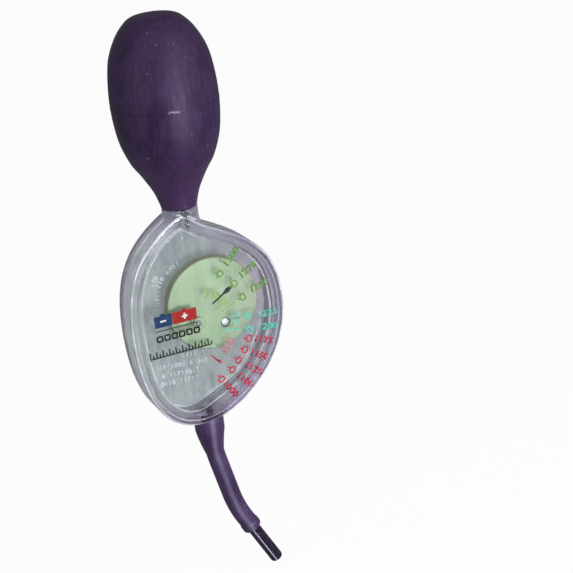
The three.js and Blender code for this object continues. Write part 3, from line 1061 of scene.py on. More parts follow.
def float_plastic():
    """Pale green moulded plastic with soft clouds of tone, a faint stain from the acid and a fine
    grain. Its side is painted a darker olive brown, as painted shade."""
    paint, place = new_finish("pale green plastic")
    clouds = noise(paint, place, *disc_cloud_noise)
    grain = noise(paint, place, *disc_grain_noise)
    stain = between(paint, noise(paint, place, *disc_stain_noise), *disc_stain_span)
    tone = mixed(paint, between(paint, clouds, *noise_span), disc_green, disc_pale)
    face = mixed(paint, stain * disc_stain_share, tone, disc_stain)
    middle_place = (disc_x * mm, 0, disc_z * mm)
    reaches = ((disc_radius - width) * mm for width in disc_side_widths)
    on_face = near_to(paint, flattened(paint, place), middle_place, *reaches)
    return finished(paint, {
        "Base Color": mixed(paint, on_face, disc_side_shade, face),
        "Roughness": between(paint, grain, *noise_span, *disc_roughness),
        "Normal": relief(paint, grain, *disc_relief),
    })


disc_profile = [
    (0, disc_back),
    *arc((disc_radius - disc_round, disc_back + disc_round), disc_round, -90, 0, round_steps),
    *arc((disc_radius - disc_round, disc_front - disc_round), disc_round, 0, 90, round_steps),
    (0, disc_front),
]
weight_hole = weight_radius + weight_fit
disc = carved("pale_green_float", turned_across("disc", disc_profile, disc_x, disc_z), [
    ("UNION", bar("hub", hub_radius, disc_back - hub_step, disc_front + hub_step)),
    ("DIFFERENCE", bar("pin bore", pin_hole_radius, 0, case_depth)),
    ("DIFFERENCE", bar("weight hole", weight_hole, 0, case_depth, weight_x, weight_z)),
])
fitted(smoothed(disc), float_plastic(), "float", "float_plastic", "dial_float")


# Float weight
# A short metal slug with domed ends, pressed into the hole of the disc. It gives the float the
# heavy side that the acid has to lift, and shows as a bright dot.
slug_dome = 0.28
slug_ring = 0.24
slug_roughness = 0.34
slug_bright = seen(222, 228, 234)
slug_dull = seen(186, 196, 206)
slug_angle = math.asin(2 * slug_dome * weight_radius / (weight_radius ** 2 + slug_dome ** 2))
slug_bow = weight_radius / math.sin(slug_angle)
slug_reach = 90 - math.degrees(slug_angle)
slug = smoothed(turned_across("bright_float_weight", [
    (0, disc_back),
    *arc((0, disc_back + slug_bow), slug_bow, -90, -slug_reach, round_steps)[1:],
    *arc((0, disc_front - slug_bow), slug_bow, slug_reach, 90, round_steps)[:-1],
    (0, disc_front),
], weight_x, weight_z))
slug_centre = Vector((weight_x, 0, weight_z))
slug_steel = steel(
    "slug steel", slug_centre, weight_radius, slug_ring, slug_bright, slug_dull, slug_roughness,
)
fitted(slug, slug_steel, "float", "steel", "float_weight")


# Printed arrow
# A thin black arrow, printed on the front of the disc from its centre outwards. Its dark head
# points at the scale on the window.
ink_thickness = 0.05
arrow_tail = np.array([7.6, 6.0])
arrow_tip = np.array([18.3, 12.3])
arrow_line = 0.65
arrow_head_places = (0.5, 0.7, 0.84, 1)
arrow_head_widths = (0.75, 2.4, 1.5, 0.3)

# Finish of all printing ink: where it is rubbed and where it is paler, and how it shines
ink_noise = (1400, 3, 0.6)
ink_rubbed_span = (0.58, 0.72)
ink_pale_span = (0.35, 0.75)
ink_pale_share = 0.3
ink_white_share = 0.15
ink_roughness = (0.5, 0.65)
ink_shine = 0.12


def ribbons(name, strokes, depth, thickness=ink_thickness):
    """Strokes as thin solid ribbons: a rectangle, as wide as the stroke at each point and as
    thick as the ink or the relief, carried along the path. A stroke is (points, widths, closed)."""
    points = []
    faces = []
    for path, widths, closed in strokes:
        path = np.asarray(path, float)
        run = np.roll(path, -1, axis=0) - np.roll(path, 1, axis=0)
        if not closed:
            run[0] = path[1] - path[0]
            run[-1] = path[-1] - path[-2]
        run /= np.linalg.norm(run, axis=1)[:, None]
        side = np.stack([-run[:, 1], run[:, 0]], axis=1) * np.reshape(widths, (-1, 1)) / 2
        loop = []
        for edge, layer in ((side, 0), (side, 1), (-side, 1), (-side, 0)):
            at = path + edge
            level = np.full(len(path), -depth - layer * thickness)
            loop.append(np.stack([at[:, 0], level, at[:, 1]], axis=1))
        base = sum(len(part) for part in points)
        points.append(np.stack(loop, axis=1).reshape(-1, 3))
        number = base + np.arange(len(path) * 4).reshape(-1, 4)
        if closed:
            number = np.vstack([number, number[:1]])
        after = np.roll(number, -1, axis=1)
        quads = np.stack([number[:-1], after[:-1], after[1:], number[1:]], axis=-1)
        faces += quads.reshape(-1, 4).tolist()
        if not closed:
            faces += [number[0].tolist(), number[-1].tolist()]
    return as_object(name, np.vstack(points), faces)


def line(start, end, width):
    """A straight stroke."""
    return ([start, end], np.array([width, width]), False)


def ink(name, colour, wear=0.25):
    """Printing ink, slightly uneven in tone and rubbed thin in small patches."""
    paint, place = new_finish(name)
    patches = noise(paint, place, *ink_noise)
    rubbed_and_highlight = between(paint, patches, *ink_rubbed_span)
    pale = tuple(part + (1 - part) * ink_white_share for part in colour)
    thin = between(paint, patches, *ink_pale_span) * ink_pale_share
    return finished(paint, {
        "Base Color": mixed(paint, thin, colour, pale),
        "Roughness": between(paint, patches, *noise_span, *ink_roughness),
        "Specular IOR Level": ink_shine,
        "Alpha": 1 - rubbed_and_highlight * wear,
    })


black_ink = ink("black ink", seen(12, 12, 18), 0.1)
arrow_places = np.array([0, *arrow_head_places])[:, None]
arrow_path = arrow_tail + (arrow_tip - arrow_tail) * arrow_places
arrow = ribbons("printed_arrow", [
    (arrow_path, np.array([arrow_line, *arrow_head_widths]), False),
], disc_front)
fitted(arrow, black_ink, "float", "float_plastic")


# Printed scale
# The scale is screen-printed in three colours on the window, with plain numbers that run
# outwards along the right-hand edge, open marks with a dash inside them, and short zone lines.
scale_centre = np.array([-10.0, -0.5])
label_length = 8.6
label_height = 3.0
label_bold = 0.03
label_curve_steps = 3
digit_merge = 1e-5
mark_length = 2.2
mark_height = 2.6
mark_line = 0.6
mark_steps = 24
dash_length = 1.3
dash_gap = 0.25
green_colour = seen(100, 156, 54)
teal_colour = seen(88, 204, 182)
red_colour = seen(196, 30, 62)
faint_red = seen(206, 110, 126)
faint_teal = seen(118, 196, 178)
faint_green = seen(150, 190, 96)
scale_runs = {
    "green": {
        "colour": green_colour,
        "labels": {"1300": (38.4, 44.5), "1275": (39.3, 29.6), "1250": (40.1, 16.4)},
        "marks": [(29.7, 43.9), (30.8, 28.4), (31.2, 14.3)],
        "lines": [],
    },
    "teal": {
        "colour": teal_colour,
        "labels": {"1225": (40.8, -3.0), "1200": (41.1, -11.6)},
        "marks": [(32.0, -1.8), (32.6, -13.5)],
        "lines": [((9.0, -5.4), (16.7, -6.3))],
    },
    "red": {
        "colour": red_colour,
        "labels": {
            "1175": (40.0, -20.3), "1150": (40.2, -30.1), "1125": (40.6, -39.4),
            "1100": (40.2, -48.3), "1000": (37.9, -58.7),
        },
        "marks": [(32.8, -20.6), (32.5, -29.6), (31.8, -39.0), (31.8, -47.7), (30.9, -59.0)],
        "lines": [((2.7, -14.8), (6.6, -19.6)), ((4.4, -17.6), (6.9, -18.6))],
    },
    "pale red": {
        "colour": faint_red,
        "labels": {},
        "marks": [(24.6, -25.7), (24.0, -34.3)],
        "lines": [],
    },
    "pale teal": {
        "colour": faint_teal,
        "labels": {},
        "marks": [(26.6, 0.9), (26.4, -4.2)],
        "lines": [],
    },
    "pale green": {
        "colour": faint_green,
        "labels": {},
        "marks": [(21.8, 32.3), (23.1, 20.5)],
        "lines": [
            ((3.1, 10.5), (6.3, 13.9)), ((4.1, 14.1), (4.8, 12.5)), ((8.7, 2.9), (16.5, 5.9)),
        ],
    },
}


def on_ray(reach, degrees):
    """A point on a ray from the centre of the scale."""
    angle = math.radians(degrees)
    return scale_centre + reach * np.array([math.cos(angle), math.sin(angle)])


def turned(points, angle):
    """Rows of x and z turned by an angle: (x cos a - z sin a, x sin a + z cos a)."""
    cosine, sine = math.cos(angle), math.sin(angle)
    return points @ np.array([[cosine, sine], [-sine, cosine]])


def open_mark(reach, degrees):
    """A closed loop like a plain rounded box: |x/a|^4 + |z/b|^4 = 1, turned to its ray."""
    t = np.linspace(0, 2 * np.pi, mark_steps, endpoint=False)
    loop = np.stack([
        np.sign(np.cos(t)) * np.sqrt(np.abs(np.cos(t))) * mark_length / 2,
        np.sign(np.sin(t)) * np.sqrt(np.abs(np.sin(t))) * mark_height / 2,
    ], axis=1)
    loop = on_ray(reach, degrees) + turned(loop, math.radians(degrees))
    return (loop, np.full(mark_steps, mark_line), True)


def dash(reach, degrees):
    """The short stroke on the inner side of an open mark."""
    far = reach - mark_length / 2 - dash_gap
    return line(on_ray(far - dash_length, degrees), on_ray(far, degrees), mark_line)


def number_mesh(text, length, height):
    """A number as a thin solid mesh facing the front. The flat digits get a raised copy and
    walls, and each part of a place is then its share of the box, less a half, times the size."""
    curve = bpy.data.curves.new(text, "FONT")
    curve.body = text
    curve.resolution_u = label_curve_steps
    curve.offset = label_bold
    holder = bpy.data.objects.new(text, curve)
    bpy.context.scene.collection.objects.link(holder)
    ready = bpy.context.evaluated_depsgraph_get()
    mesh = bpy.data.meshes.new_from_object(holder.evaluated_get(ready))
    bpy.data.objects.remove(holder)
    shape = bmesh.new()
    shape.from_mesh(mesh)
    bmesh.ops.remove_doubles(shape, verts=shape.verts, dist=digit_merge)
    walls = bmesh.ops.extrude_face_region(shape, geom=shape.faces[:])
    raised = [part for part in walls["geom"] if isinstance(part, bmesh.types.BMVert)]
    bmesh.ops.translate(shape, verts=raised, vec=(0, 0, 1))
    bmesh.ops.recalc_face_normals(shape, faces=shape.faces)
    shape.to_mesh(mesh)
    shape.free()
    places = vertex_places(mesh)
    across, up, layer = ((places - places.min(axis=0)) / np.ptp(places, axis=0)).T
    depth = -layer * ink_thickness
    sized = np.stack([(across - 0.5) * length, depth, (up - 0.5) * height], axis=1) * mm
    mesh.vertices.foreach_set("co", sized.astype(np.float32).ravel())
    return mesh


def joined(name, meshes):
    """One object from several meshes, each with its own place."""
    shape = bmesh.new()
    for mesh, place in meshes:
        mesh.transform(place)
        shape.from_mesh(mesh)
    whole = bpy.data.meshes.new(name)
    shape.to_mesh(whole)
    shape.free()
    made = bpy.data.objects.new(name, whole)
    bpy.context.scene.collection.objects.link(made)
    return made


for zone, run in scale_runs.items():
    parts = []
    for text, (reach, degrees) in run["labels"].items():
        x, z = on_ray(reach, degrees)
        place = Matrix.Translation(Vector((x, -window_outside, z)) * mm)
        turn = Matrix.Rotation(-math.radians(degrees), 4, "Y")
        parts.append((number_mesh(text, label_length, label_height), place @ turn))
    strokes = [open_mark(*mark) for mark in run["marks"]]
    strokes += [dash(*mark) for mark in run["marks"]]
    strokes += [line(start, end, mark_line) for start, end in run["lines"]]
    loose = ribbons("strokes", strokes, window_outside)
    parts.append((loose.data, Matrix.Identity(4)))
    bpy.data.objects.remove(loose)
    printed = joined("scale_print_" + zone.replace(" ", "_"), parts)
    fitted(printed, ink(zone + " ink", run["colour"]), "case", "clear_case")


# Printed emblem
# Beside the scale a plain two-colour sign is printed on the window: two plates with posts, a
# minus and a plus sign on them, over a row of six cell squares and a short rule.
plate_low = 3.1
plate_high = 8.2
sign_row = (plate_low + plate_high) / 2
minus_plate = (-20.0, -12.2)
plus_plate = (-11.9, -1.2)
post_height = 0.8
post_width = 2.0
sign_line = 0.8
sign_reach = 1.3
cell_count = 6
cell_row = -1.9
cell_size = 2.2
cell_left = -18.6
cell_pitch = 3.3
rule_row = -9.9
rule_left = -23.9
rule_pitch = 1.45
rule_ticks = 20
rule_tall = 2.9
rule_short = 1.6
rule_line = 0.6
cell_line = 0.75
corner_share = 0.85
hair_line = 0.4
hair_row = 1.6
white_thickness = 0.02


def plate_stroke(ends):
    """A filled rectangle between two places across the window."""
    return line((ends[0], sign_row), (ends[1], sign_row), plate_high - plate_low)


def post_stroke(ends):
    """The terminal post that stands on a plate."""
    centre = sum(ends) / 2
    level = plate_high + post_height / 2
    return line((centre - post_width / 2, level), (centre + post_width / 2, level), post_height)


def box_loop(centre, size):
    """A square drawn as a closed stroke with two points near each corner."""
    half = size / 2
    cut = half * corner_share
    loop = [
        (half, cut), (cut, half), (-cut, half), (-half, cut),
        (-half, -cut), (-cut, -half), (cut, -half), (half, -cut),
    ]
    return (np.array(loop) + np.array(centre), np.full(len(loop), cell_line), True)


plates = (
    ("emblem_minus_plate", minus_plate, "blue ink", seen(10, 48, 96)),
    ("emblem_plus_plate", plus_plate, "dark red ink", seen(166, 22, 16)),
)
for name, ends, ink_name, colour in plates:
    plate = ribbons(name, [plate_stroke(ends), post_stroke(ends)], window_outside)
    fitted(plate, ink(ink_name, colour, 0.05), "case", "clear_case")

minus_centre = sum(minus_plate) / 2
plus_centre = sum(plus_plate) / 2
sign_half = sign_line / 2
signs = ribbons("emblem_signs", [
    line((minus_centre - sign_reach, sign_row), (minus_centre + sign_reach, sign_row), sign_line),
    line((plus_centre - sign_reach, sign_row), (plus_centre - sign_half, sign_row), sign_line),
    line((plus_centre + sign_half, sign_row), (plus_centre + sign_reach, sign_row), sign_line),
    line((plus_centre, sign_row - sign_reach), (plus_centre, sign_row + sign_reach), sign_line),
], window_outside + ink_thickness, white_thickness)
fitted(signs, ink("white ink", seen(222, 226, 222), 0.1), "case", "clear_case")

rule_strokes = [
    line(
        (rule_left + step * rule_pitch, rule_row),
        (rule_left + step * rule_pitch, rule_row + (rule_short if step % 2 else rule_tall)),
        rule_line,
    )
    for step in range(rule_ticks)
]
rule_right = rule_left + (rule_ticks - 1) * rule_pitch
black_strokes = [
    *(box_loop((cell_left + cell_pitch * step, cell_row), cell_size) for step in range(cell_count)),
    *rule_strokes,
    line((rule_left, rule_row), (rule_right, rule_row), rule_line),
    line((minus_plate[0], hair_row), (plus_plate[1], hair_row), hair_line),
]
rule_and_cells = ribbons("emblem_rule_and_cells", black_strokes, window_outside)
fitted(rule_and_cells, black_ink, "case", "clear_case")


# Raised marks
# Rows of short bars and rings stand up from the inside of the rear window, where the mould
# carries its marks. They are the same clear plastic, and look frosted as their tops are rough.
raised_height = 0.3
mark_root = 0.05
bar_line = 0.55
bar_tall = 2.3
bar_pitch = 1.75
shortest_share = 0.6
ring_width = 1.0
ring_steps = 12
bar_bow = 0.1
hook_reach = 0.7
hook_drop = 0.1
full_share = 0.86
row_lean = 0.2
raised_rows = [
    ((-18.6, -19.3), (4.8, -21.4)),
    ((-18.0, -23.4), (5.2, -25.2)),
    ((-17.2, -27.2), (-0.6, -28.2)),
    ((-6.0, -16.4), (5.6, -17.5)),
]
raised_arcs = [(18.9, 113, 133), (19.7, 140, 151), (22.5, 142, 151), (18.5, 157, 182)]
arc_centre = np.array([4.5, 7.0])
mark_draws = np.random.default_rng(11)

# Finish of the marks
frost_noise = (1200, 3)
frost_grey = seen(224, 228, 238)
frost_white = seen(250, 252, 255)
frost_roughness = (0.2, 0.4)
frost_cover_span = (0.3, 0.6)
frost_cover = (0.85, 1)


def frosted():
    """Clear plastic with a rough, whitish top."""
    paint, place = new_finish("frosted marks")
    patches = noise(paint, place, *frost_noise)
    return finished(paint, {
        "Base Color": mixed(paint, patches, frost_grey, frost_white),
        "Roughness": between(paint, patches, *noise_span, *frost_roughness),
        "Alpha": between(paint, patches, *frost_cover_span, *frost_cover),
    })


def raised_glyph(at, lean):
    """One mark: an upright bar, a hooked bar or a small ring, turned by an angle in radians."""
    kind = mark_draws.integers(3)
    half = bar_tall * mark_draws.uniform(shortest_share, 1) / 2
    is_ring = kind == 2
    if is_ring:
        t = np.linspace(0, 2 * np.pi, ring_steps, endpoint=False)
        path = np.stack([ring_width / 2 * np.cos(t), half * np.sin(t)], axis=1)
    else:
        hook = (hook_reach * kind, half - hook_drop * kind)
        path = np.array([(0, -half), (bar_bow, 0), (0, half), hook])[:3 + kind]
    return (at + turned(path, lean), np.full(len(path), bar_line), is_ring)


mark_strokes = []
for start, end in raised_rows:
    start = np.array(start)
    run = np.array(end) - start
    for step in range(int(np.linalg.norm(run) / bar_pitch) + 1):
        if mark_draws.random() < full_share:
            at = start + run * step * bar_pitch / np.linalg.norm(run)
            mark_strokes.append(raised_glyph(at, mark_draws.uniform(-row_lean, row_lean)))
for reach, start, end in raised_arcs:
    for step in range(int(math.radians(end - start) * reach / bar_pitch) + 1):
        angle = math.radians(start) + step * bar_pitch / reach
        at = arc_centre + reach * np.array([math.cos(angle), math.sin(angle)])
        mark_strokes.append(raised_glyph(at, angle - math.pi / 2))
raised_marks = ribbons("raised_mould_marks", mark_strokes, back_wall - mark_root, raised_height)
fitted(raised_marks, frosted(), "case", "clear_case")


# Squeeze bulb
# A hollow bulb of soft rubber, moulded in two halves, so that a fine parting line runs round its
# widest part. Its mouth is stretched over the upper spigot down to the collar of the neck.
bulb_height = 80.5
bulb_radius = 22.1
bulb_wall = 2.2
bulb_mouth = 7.5
bulb_lip = 0.7
bulb_throat = 15.0
bulb_throat_bore = 5.7
bulb_seat = 0.3
flash_share = 0.55
flash_height = 0.15
flash_width = 0.7
bulb_shares = [
    (0.2, 0.647), (0.26, 0.784), (0.36, 0.918), (0.46, 0.979), (0.57, 1), (0.68, 0.977),
    (0.79, 0.91), (0.88, 0.77), (0.945, 0.598), (0.985, 0.393), (1, 0),
]
throat_shares = [(0.22, 0.1), (0.5, 0.31), (0.8, 0.647)]
spline_steps = 14
bulb_sharp = 50.0

# Finish of the bulb: colours, patterns of noise, the spans of noise over which they set in, how
# strongly they show, and relief
bulb_dark = seen(42, 24, 52)
bulb_mottled = seen(59, 37, 72)
# Painted light: the bulb is paler low down
painted_low_light = seen(84, 58, 98)
bulb_streak = seen(84, 66, 104)
bulb_dust = seen(140, 130, 152)
parting_tone = seen(30, 18, 38)
scuffed_tone = seen(172, 162, 182)
bulb_sheen = (0.8, 0.68, 1, 1)
bulb_mottle_noise = (55, 4, 0.6)
bulb_streak_noise = (800, 3, 0.6)
bulb_streak_squeeze = 0.12
bulb_streak_span = (0.45, 0.65)
bulb_grain_noise = (1000, 4, 0.65)
bulb_dust_noise = (620, 1)
bulb_dust_span = (0.765, 0.79)
scuff_span = (0.42, 0.6)
low_light_share = 0.45
bulb_streak_share = 0.26
bulb_dust_share = 0.6
parting_share = 0.35
bulb_roughness_span = (0.25, 0.75)
bulb_roughness = (0.44, 0.56)
bulb_relief = (0.9, 0.16)
rubber_grain_share = 0.5
rubber_shine = 0.45


def spline(points, steps):
    """A Catmull-Rom curve through the points: for each span, half of (2b + (c-a) t +
    (2a-5b+4c-d) t^2 + (3b-a-3c+d) t^3), with the end points doubled."""
    ends = np.vstack([points[:1], points, points[-1:]])
    t = np.linspace(0, 1, steps, endpoint=False)[:, None]
    spans = []
    for a, b, c, d in zip(ends, ends[1:], ends[2:], ends[3:]):
        spans.append(0.5 * (
            2 * b + (c - a) * t + (2 * a - 5 * b + 4 * c - d) * t ** 2
            + (3 * b - a - 3 * c + d) * t ** 3
        ))
    return np.vstack([*spans, points[-1:]])


def bulb_profile():
    """The bulb's outside from the lip to the crown with the bead of the parting line, then its
    hollow back down to the mouth."""
    low_radius = bulb_shares[0][1] * bulb_radius
    throat = [
        (bulb_mouth + swell * (low_radius - bulb_mouth), height * bulb_throat)
        for height, swell in throat_shares
    ]
    body = [(radius * bulb_radius, height * bulb_height) for height, radius in bulb_shares]
    side = spline(np.array([(bulb_mouth, bulb_lip), *throat, *body]), spline_steps)
    level = side[:, 1] - flash_share * bulb_height
    side[:, 0] += flash_height * np.exp(-(level / (flash_width / 2)) ** 2)
    side[:, 0] = np.maximum(side[:, 0], 0)
    side[-1, 0] = 0
    lip = arc((bulb_mouth - bulb_lip, bulb_lip), bulb_lip, -90, 0, round_steps)[:-1]
    throat_top = spigot_top - neck_top + bulb_seat
    above = (side[:, 0] > bulb_wall) & (side[:, 1] > throat_top + 2 * bulb_wall)
    inside = side[above] * (1, 1 - bulb_wall / bulb_height) - (bulb_wall, 0)
    hollow = [
        (0, bulb_height - bulb_wall), *inside[::-1].tolist(),
        (bulb_throat_bore, throat_top), (bulb_throat_bore, 0),
    ]
    seat = neck_top + bulb_seat
    return [(radius, height + seat) for radius, height in (*lip, *side.tolist(), *hollow)]


parting_height = (neck_top + bulb_seat + flash_share * bulb_height) * mm
scuff_place = (-0.0038, -0.0292, parting_height)
scuff_reach = (0.0005, 0.004)
parting_fade = (0.25 * mm, 0.7 * mm)
low_fade = (parting_height - 0.04, parting_height - 0.005)


def bulb_rubber():
    """Aubergine rubber with a soft bloom: mottled, with painted light that makes it paler low down,
    streaked upright where it left the mould, with pale dust specks and a rubbed parting line."""
    paint, place = new_finish("bulb rubber")
    height = parts_of(paint, place).out("Z")
    mottle = noise(paint, place, *bulb_mottle_noise)
    streaks = noise(paint, drawn_tall(paint, place, bulb_streak_squeeze), *bulb_streak_noise)
    grain = noise(paint, place, *bulb_grain_noise)
    specks = between(paint, noise(paint, place, *bulb_dust_noise), *bulb_dust_span)
    level = (height - parting_height).maths("ABSOLUTE")
    parting = 1 - between(paint, level, *parting_fade)
    rough_spots = between(paint, grain, *scuff_span)
    scuff = near_to(paint, place, scuff_place, *scuff_reach) * rough_spots
    low = between(paint, height, *low_fade, 1, 0)
    drawn = between(paint, streaks, *bulb_streak_span)
    tone = mixed(paint, between(paint, mottle, *noise_span), bulb_dark, bulb_mottled)
    tone = mixed(paint, low * low_light_share, tone, painted_low_light)
    tone = mixed(paint, drawn * bulb_streak_share, tone, bulb_streak)
    tone = mixed(paint, specks * bulb_dust_share, tone, bulb_dust)
    tone = mixed(paint, parting * parting_share, tone, parting_tone)
    skin_height = grain * rubber_grain_share + streaks * (1 - rubber_grain_share)
    return finished(paint, {
        "Base Color": mixed(paint, parting * scuff, tone, scuffed_tone),
        "Roughness": between(paint, mottle, *bulb_roughness_span, *bulb_roughness),
        "Specular IOR Level": rubber_shine,
        "Specular Tint": bulb_sheen,
        "Normal": relief(paint, skin_height, *bulb_relief),
    })


bulb = smoothed(turned_upright("rubber_squeeze_bulb", bulb_profile(), ring=True), bulb_sharp)
fitted(bulb, bulb_rubber(), "case", "bulb_rubber", "squeeze_bulb")


# Pick-up tube
# A moulded rubber tube with a thick cuff, stretched over the lower spigot into its socket. It
# tapers, bends twice and ends in a low bead round the nozzle.
tube_top = -42.5
cuff_radius = 6.5
cuff_rim_step = 0.5
cuff_bore = 3.5
cuff_straight = 9.0
cuff_length = 20.5
cuff_edge = 0.6
tube_radius = 4.1
tube_bore = 2.9
bead_height = 0.3
bead_length = 3.5
bead_edge = 0.6
end_round = 0.5
end_steps = np.array([0, 0.05, 0.15, 0.3, 0.45])
tube_parts = [
    (9.0, 0.0, 18),
    (16.0, math.radians(12.5), 28),
    (18.5, 0.0, 30),
    (14.0, math.radians(14.5), 28),
    (7.0, 0.0, 28),
]
tube_sides = 96
tube_sharp = 40.0

# Finish of the tube, in the same order
tube_dark = seen(62, 42, 78)
tube_mottled = seen(80, 58, 98)
# Painted highlight along the front of the tube
tube_painted_highlight = seen(124, 118, 144)
tube_streak = seen(108, 90, 130)
tube_speck = seen(190, 182, 198)
# Where the painted highlight runs, across the middle line
tube_highlight_band = (-1.6, 0.1, 0.9)
tube_mottle_noise = (90, 4, 0.6)
tube_streak_noise = (420, 3, 0.6)
tube_streak_squeeze = 0.15
tube_streak_span = (0.5, 0.75)
tube_grain_noise = (1800, 3, 0.6)
tube_speck_noise = (520, 1)
tube_speck_span = (0.76, 0.78)
tube_highlight_span = (0.3, 0.6)
tube_highlight_shares = (0.45, 0.8)
tube_streak_share = 0.3
tube_speck_share = 0.7
tube_roughness_span = (0.25, 0.75)
tube_roughness = (0.36, 0.5)
tube_relief = (0.3, 0.06)


def tube_route():
    """Places down the tube's middle line: each step moves along the mean of the headings at its
    two ends, and a heading is counted from straight down. Rows are x, z, heading, reach."""
    rows = [(0.0, tube_top, 0.0, 0.0)]
    for length, bend, steps in tube_parts:
        for _ in range(steps):
            x, z, heading, reach = rows[-1]
            stride = length / steps
            mean = heading + bend / steps / 2
            rows.append((
                x + stride * math.sin(mean),
                z - stride * math.cos(mean),
                heading + bend / steps,
                reach + stride,
            ))
    return np.array(rows)


def swept(name, stations, radii, ring=False):
    """Circles of these radii round the stations, each square to its heading: centre + radius
    (cos a across the depth + sin a across the heading)."""
    angle = np.linspace(0, 2 * np.pi, tube_sides, endpoint=False)
    x, z, heading = stations[:, 0, None], stations[:, 1, None], stations[:, 2, None]
    radius = np.asarray(radii)[:, None]
    sideways = radius * np.sin(angle)
    grid = np.stack([
        x + sideways * np.cos(heading),
        -middle - radius * np.cos(angle),
        z + sideways * np.sin(heading),
    ], axis=-1)
    return skin(name, grid, ring)


def tube_outside(reach, whole):
    """The cuff's straight taper into the tube, its rim, stepped in for the socket and rounded
    at the top, and the low end bead."""
    taper = np.clip((cuff_length - reach) / (cuff_length - cuff_straight), 0, 1)
    swell = np.clip((reach - socket_depth) / cuff_edge, 0, 1)
    radius = tube_radius + (cuff_radius - tube_radius) * taper - cuff_rim_step * (1 - swell)
    edge = np.clip(1 - reach / cuff_edge, 0, 1)
    radius = radius - cuff_edge * (1 - np.sqrt(1 - edge ** 2))
    from_end = whole - reach
    bead = np.clip((bead_length - from_end) / bead_edge, 0, 1)
    lip = np.clip(1 - from_end / end_round, 0, 1)
    return radius + bead_height * bead - end_round * (1 - np.sqrt(1 - lip ** 2))


route = tube_route()
route_end = route[-1]


def tube_stations():
    """Down the outside, then back up the bore and the wider bore of the cuff."""
    whole = route_end[3]
    reach = np.concatenate([end_steps, route[1:-1, 3], whole - end_steps[::-1]])
    outside = np.stack([np.interp(reach, route[:, 3], column) for column in route.T], axis=1)
    cuff_end = -spigot_foot - bulb_seat + tube_top
    inside = outside[::-1]
    inside = inside[inside[:, 3] > cuff_end]
    step = np.array([(0, tube_top - cuff_end, 0, cuff_end)])
    stations = np.vstack([outside, inside, step, step, route[:1]])
    radii = np.concatenate([
        tube_outside(outside[:, 3], whole),
        np.full(len(inside) + 1, tube_bore),
        [cuff_bore, cuff_bore],
    ])
    return stations, radii


def measure_across(piece, stations):
    """Keeps for each vertex how many millimetres it lies to the right of the middle line."""
    gaps = vertex_places(piece.data)[:, None, [0, 2]] - stations[:, :2]
    near = np.linalg.norm(gaps, axis=2).argmin(axis=1)
    gap = gaps[np.arange(len(near)), near]
    heading = stations[near, 2]
    keep_numbers(piece, "across", gap[:, 0] * np.cos(heading) + gap[:, 1] * np.sin(heading))


def front_streak(paint, place, low, high, soft):
    """1 along the front of a tube, between two distances to the right of its middle line, where a
    highlight is painted.
    """
    in_front = parts_of(paint, place).out("Y") < -middle * mm
    return band(paint, vertex_number(paint, "across"), low, high, soft) * in_front


def tube_rubber():
    """The same rubber as the bulb, smoother from the mould, with a painted highlight streak along
    its front and a few specks."""
    paint, place = new_finish("tube rubber")
    rubbed_and_highlight = front_streak(paint, place, *tube_highlight_band)
    mottle = noise(paint, place, *tube_mottle_noise)
    streaks = noise(paint, drawn_tall(paint, place, tube_streak_squeeze), *tube_streak_noise)
    grain = noise(paint, place, *tube_grain_noise)
    specks = between(paint, noise(paint, place, *tube_speck_noise), *tube_speck_span)
    painted_highlight = rubbed_and_highlight * between(paint, mottle, *tube_highlight_span, *tube_highlight_shares)
    drawn = between(paint, streaks, *tube_streak_span)
    tone = mixed(paint, between(paint, mottle, *noise_span), tube_dark, tube_mottled)
    tone = mixed(paint, painted_highlight, tone, tube_painted_highlight)
    tone = mixed(paint, drawn * tube_streak_share, tone, tube_streak)
    skin_height = grain * rubber_grain_share + streaks * (1 - rubber_grain_share)
    return finished(paint, {
        "Base Color": mixed(paint, specks * tube_speck_share, tone, tube_speck),
        "Roughness": between(paint, mottle, *tube_roughness_span, *tube_roughness),
        "Specular IOR Level": rubber_shine,
        "Normal": relief(paint, skin_height, *tube_relief),
    })


tube_places, tube_radii = tube_stations()
tube = smoothed(swept("rubber_pickup_tube", tube_places, tube_radii, ring=True), tube_sharp)
measure_across(tube, route)
fitted(tube, tube_rubber(), "case", "tube_rubber", "pickup_tube")


# Nozzle tip
# A short hard plastic tube, pushed into the end of the rubber one. It reaches down into the
# acid, and its mouth is rounded.
nozzle_radius = 2.9
nozzle_bore = 1.2
nozzle_insert = 6.0
nozzle_reach = 22.1
nozzle_round = 0.8
nozzle_steps = 24
mouth_flare = 0.3

# Finish of the nozzle, in the same order
nozzle_dark = seen(34, 24, 42)
nozzle_dull = seen(58, 42, 68)
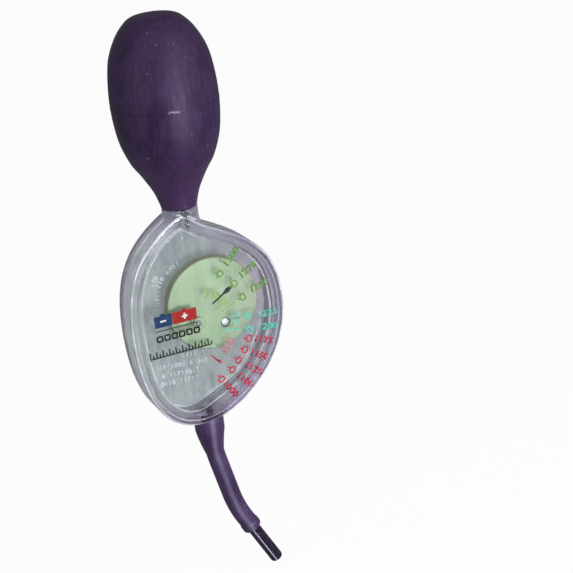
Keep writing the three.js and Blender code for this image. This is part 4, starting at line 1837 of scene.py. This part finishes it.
# Painted highlight along the front of the nozzle
nozzle_highlight = seen(196, 196, 214)
nozzle_highlight_band = (-1.25, -0.75, 0.2)
nozzle_handled_noise = (400, 4, 0.6)
nozzle_handled_span = (0.4, 0.7)
nozzle_drawn_noise = (900, 2)
nozzle_drawn_squeeze = 0.1
nozzle_highlight_share = 0.9
nozzle_roughness_span = (0.4, 0.75)
nozzle_roughness = (0.08, 0.22)
nozzle_relief = (0.2, 0.03)


def nozzle_stations():
    """Down the outside from the hidden end to the rounded mouth, and back up the bore, all on
    the straight line through the end of the tube's route."""
    x, z, heading, _ = route_end
    mouth_centre = (nozzle_reach - nozzle_round, nozzle_radius - nozzle_round)
    side = np.linspace(0, nozzle_reach - 2 * nozzle_round, nozzle_steps)
    past, radii = np.array([
        (-nozzle_insert, nozzle_radius - nozzle_round / 2),
        (-nozzle_insert + nozzle_round / 2, nozzle_radius),
        *zip(side, np.full(nozzle_steps, nozzle_radius)),
        *arc(mouth_centre, nozzle_round, 90, 0, round_steps),
        (nozzle_reach - mouth_flare, nozzle_bore),
        (-nozzle_insert, nozzle_bore),
    ]).T
    stations = np.stack([
        x + past * math.sin(heading),
        z - past * math.cos(heading),
        np.full(len(past), heading),
    ], axis=1)
    return stations, radii


def hard_plastic():
    """Near-black glossy plastic with fine drawing lines along it, dull handling marks and a painted
    highlight: a thin pale line along its front."""
    paint, place = new_finish("nozzle plastic")
    rubbed_and_highlight = front_streak(paint, place, *nozzle_highlight_band)
    handled = noise(paint, place, *nozzle_handled_noise)
    drawn = noise(paint, drawn_tall(paint, place, nozzle_drawn_squeeze), *nozzle_drawn_noise)
    dull_marks = between(paint, handled, *nozzle_handled_span)
    tone = mixed(paint, dull_marks, nozzle_dark, nozzle_dull)
    return finished(paint, {
        "Base Color": mixed(paint, rubbed_and_highlight * nozzle_highlight_share, tone, nozzle_highlight),
        "Roughness": between(paint, handled, *nozzle_roughness_span, *nozzle_roughness),
        "Normal": relief(paint, drawn, *nozzle_relief),
    })


nozzle_places, nozzle_radii = nozzle_stations()
nozzle = smoothed(swept("hard_nozzle_tip", nozzle_places, nozzle_radii, ring=True), tube_sharp)
measure_across(nozzle, nozzle_places)
fitted(nozzle, hard_plastic(), "case", "nozzle_plastic", "nozzle_tip")
